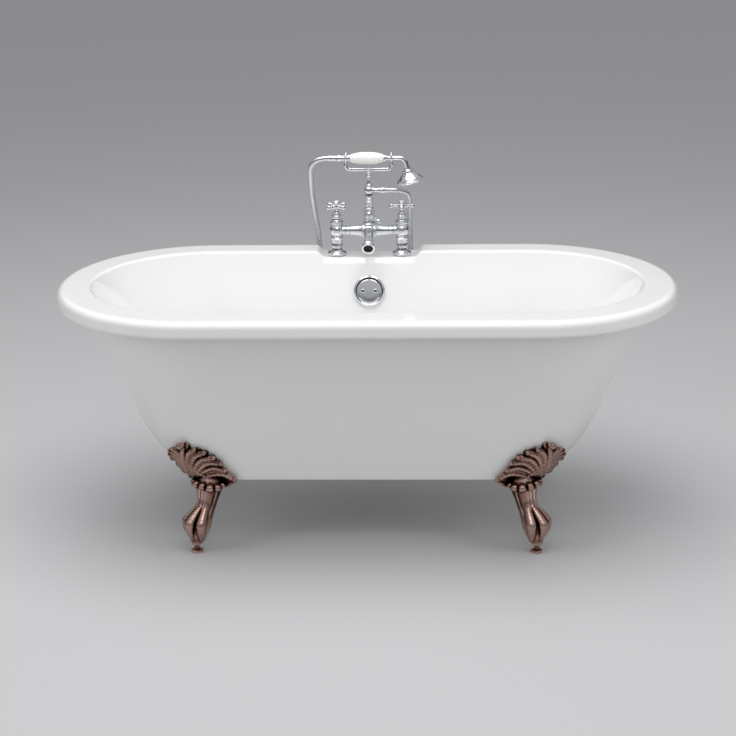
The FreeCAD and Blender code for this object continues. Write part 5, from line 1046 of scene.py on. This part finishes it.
def build_overflow():
    """Ringed overflow plate: a domed disc set low in it leaves a narrow crescent, and two screws hold it."""
    wall, out, up = overflow_frame()
    side = np.array([1, 0, 0])
    ring = [(37.6, 0.1), (43, 0.1), (43, 3.2), *bead(5.4, 41.2, 1.7, 3.8), (40, 8.4), (38.6, 9),
            (37.6, 8.2), (37.4, 2)]
    disc = [(0, 8.6), (18, 8.3), (28, 7.6), (33.4, 6.6), (35, 5.6), (35.2, 4.6), (34.6, 3.6), (0, 3.6)]
    forms = [turned(ring, wall, out, 96), turned(disc, wall - 2.3 * up, out, 96)]
    metal("overflow_plate", forms, ROOT, "overflow_faceplate")
    # A dark disc behind the ring: painted shade in the crescent gap above the domed disc.
    back = turned([(0, 1), (37.7, 1), (37.7, 1.6), (0, 1.6)], wall, out, 72)
    metal("overflow_painted_shade", [back], ROOT, material=DARK_METAL_AND_PAINTED_SHADE)
    head = [(0, 6), (5.6, 6), (5.6, 8.9), (4.9, 9.9), (3.4, 10.2), (0, 10.2)]
    socket = [(0, 9.6), (3.2, 9.6), (3.2, 10.4), (0, 10.4)]
    places = [wall + s * SCREW_SPREAD * side for s in (-1, 1)]
    heads = [turned(head, place, out, 40) for place in places]
    metal("overflow_screw_heads", heads, ROOT, "overflow_screws")
    # Dark discs on the screw heads: painted shade where their sockets lie.
    sockets = [turned(socket, place, out, 32, 0.1) for place in places]
    metal("overflow_screw_socket_shade", sockets, ROOT, material=DARK_METAL_AND_PAINTED_SHADE)


build_mixer_body()
build_spout()
build_crosshead(-PILLAR_X, 45, "left", "hot_handle")
build_crosshead(PILLAR_X, 0, "right", "cold_handle")
build_lever()
build_trim()
build_fittings()
build_overflow()


# ---- the rest keeps its CAD form with a better material ----
slots = {part["node"]: part["material_slot"] for part in frame["record"]["subparts"]}
for node, obj in frame["nodes"].items():
    obj.data.materials.clear()
    obj.data.materials.append(CARRIED[slots[node]])


# ---- floor, light and camera ----
def build_stage():
    mesh = bpy.data.meshes.new("floor")
    half = 14.0
    corners = [(-half, -half, 0), (half, -half, 0), (half, half, 0), (-half, half, 0)]
    mesh.from_pydata(corners, [], [(0, 1, 2, 3)])
    floor = new_object("floor", mesh)
    look = Look("floor", **{"Base Color": (0.50, 0.50, 0.505, 1), "Roughness": 0.6})
    floor.data.materials.append(look.material)


def area_light(name, place, target, size, power, glossy=True):
    data = bpy.data.lights.new(name, "AREA")
    data.shape = "RECTANGLE"
    data.size, data.size_y = size
    data.energy = power
    lamp = new_object(name, data)
    lamp.location = place
    lamp.visible_glossy = glossy
    lamp.rotation_euler = (Vector(target) - Vector(place)).to_track_quat("-Z", "Y").to_euler()


def build_world():
    """Soft studio: bright above, a darker band at eye level that the metal picks up."""
    world = bpy.data.worlds.new("studio")
    bpy.context.scene.world = world
    world.use_nodes = True
    nodes, links = world.node_tree.nodes, world.node_tree.links
    background = nodes["Background"]
    split = new_node(nodes, "SeparateXYZ")
    links.new(new_node(nodes, "TexCoord").outputs["Generated"], split.inputs["Vector"])
    height = new_node(nodes, "MapRange", **{"From Min": -1.0})
    links.new(split.outputs["Z"], height.inputs["Value"])
    shade = ramp(nodes, links, height.outputs["Result"],
                 [(0.48, (0.30, 0.30, 0.31)), (0.53, (0.10, 0.10, 0.11)), (0.60, (0.16, 0.16, 0.17)),
                  (0.70, (0.72, 0.73, 0.75)), (1.0, (0.95, 0.96, 0.98))])
    links.new(shade, background.inputs["Color"])
    background.inputs["Strength"].default_value = 0.62


def build_camera():
    """The photograph's viewpoint: 4.4 m away, a little to the right of square on, looking down."""
    distance, height = 4, 1.7967
    yaw, pitch, roll = math.radians(1.92), math.radians(19.08), math.radians(-0.76)
    focal_px, centre_x, frame_px = 1604, 367.6 - 0.3, 736
    data = bpy.data.cameras.new("camera")
    data.sensor_width = 36
    data.lens = focal_px / frame_px * 36
    data.shift_x = (frame_px / 2 - centre_x) / frame_px
    camera = new_object("camera", data)
    turn = Matrix.Rotation(yaw, 4, "Z")
    look = Matrix.Rotation(math.pi / 2 - pitch, 4, "X")
    tilt = Matrix.Rotation(roll, 4, "Z")
    camera.matrix_world = turn @ Matrix.Translation((0, -distance, height)) @ look @ tilt
    bpy.context.scene.camera = camera


build_stage()
build_world()
area_light("overhead", (-0.2, -0.3, 3.6), (0, 0, 0.4), (3.4, 2.6), 90)
area_light("left", (-3.4, -1.6, 2.0), (0, 0, 0.5), (1.6, 2.2), 26, False)
area_light("right", (3.4, -1.4, 2.0), (0, 0, 0.5), (1.6, 2.2), 26, False)
area_light("front", (0.4, -4.6, 2.2), (0, 0, 0.5), (3.0, 1.6), 24, False)
build_camera()
bpy.context.scene.view_settings.view_transform = "Standard"
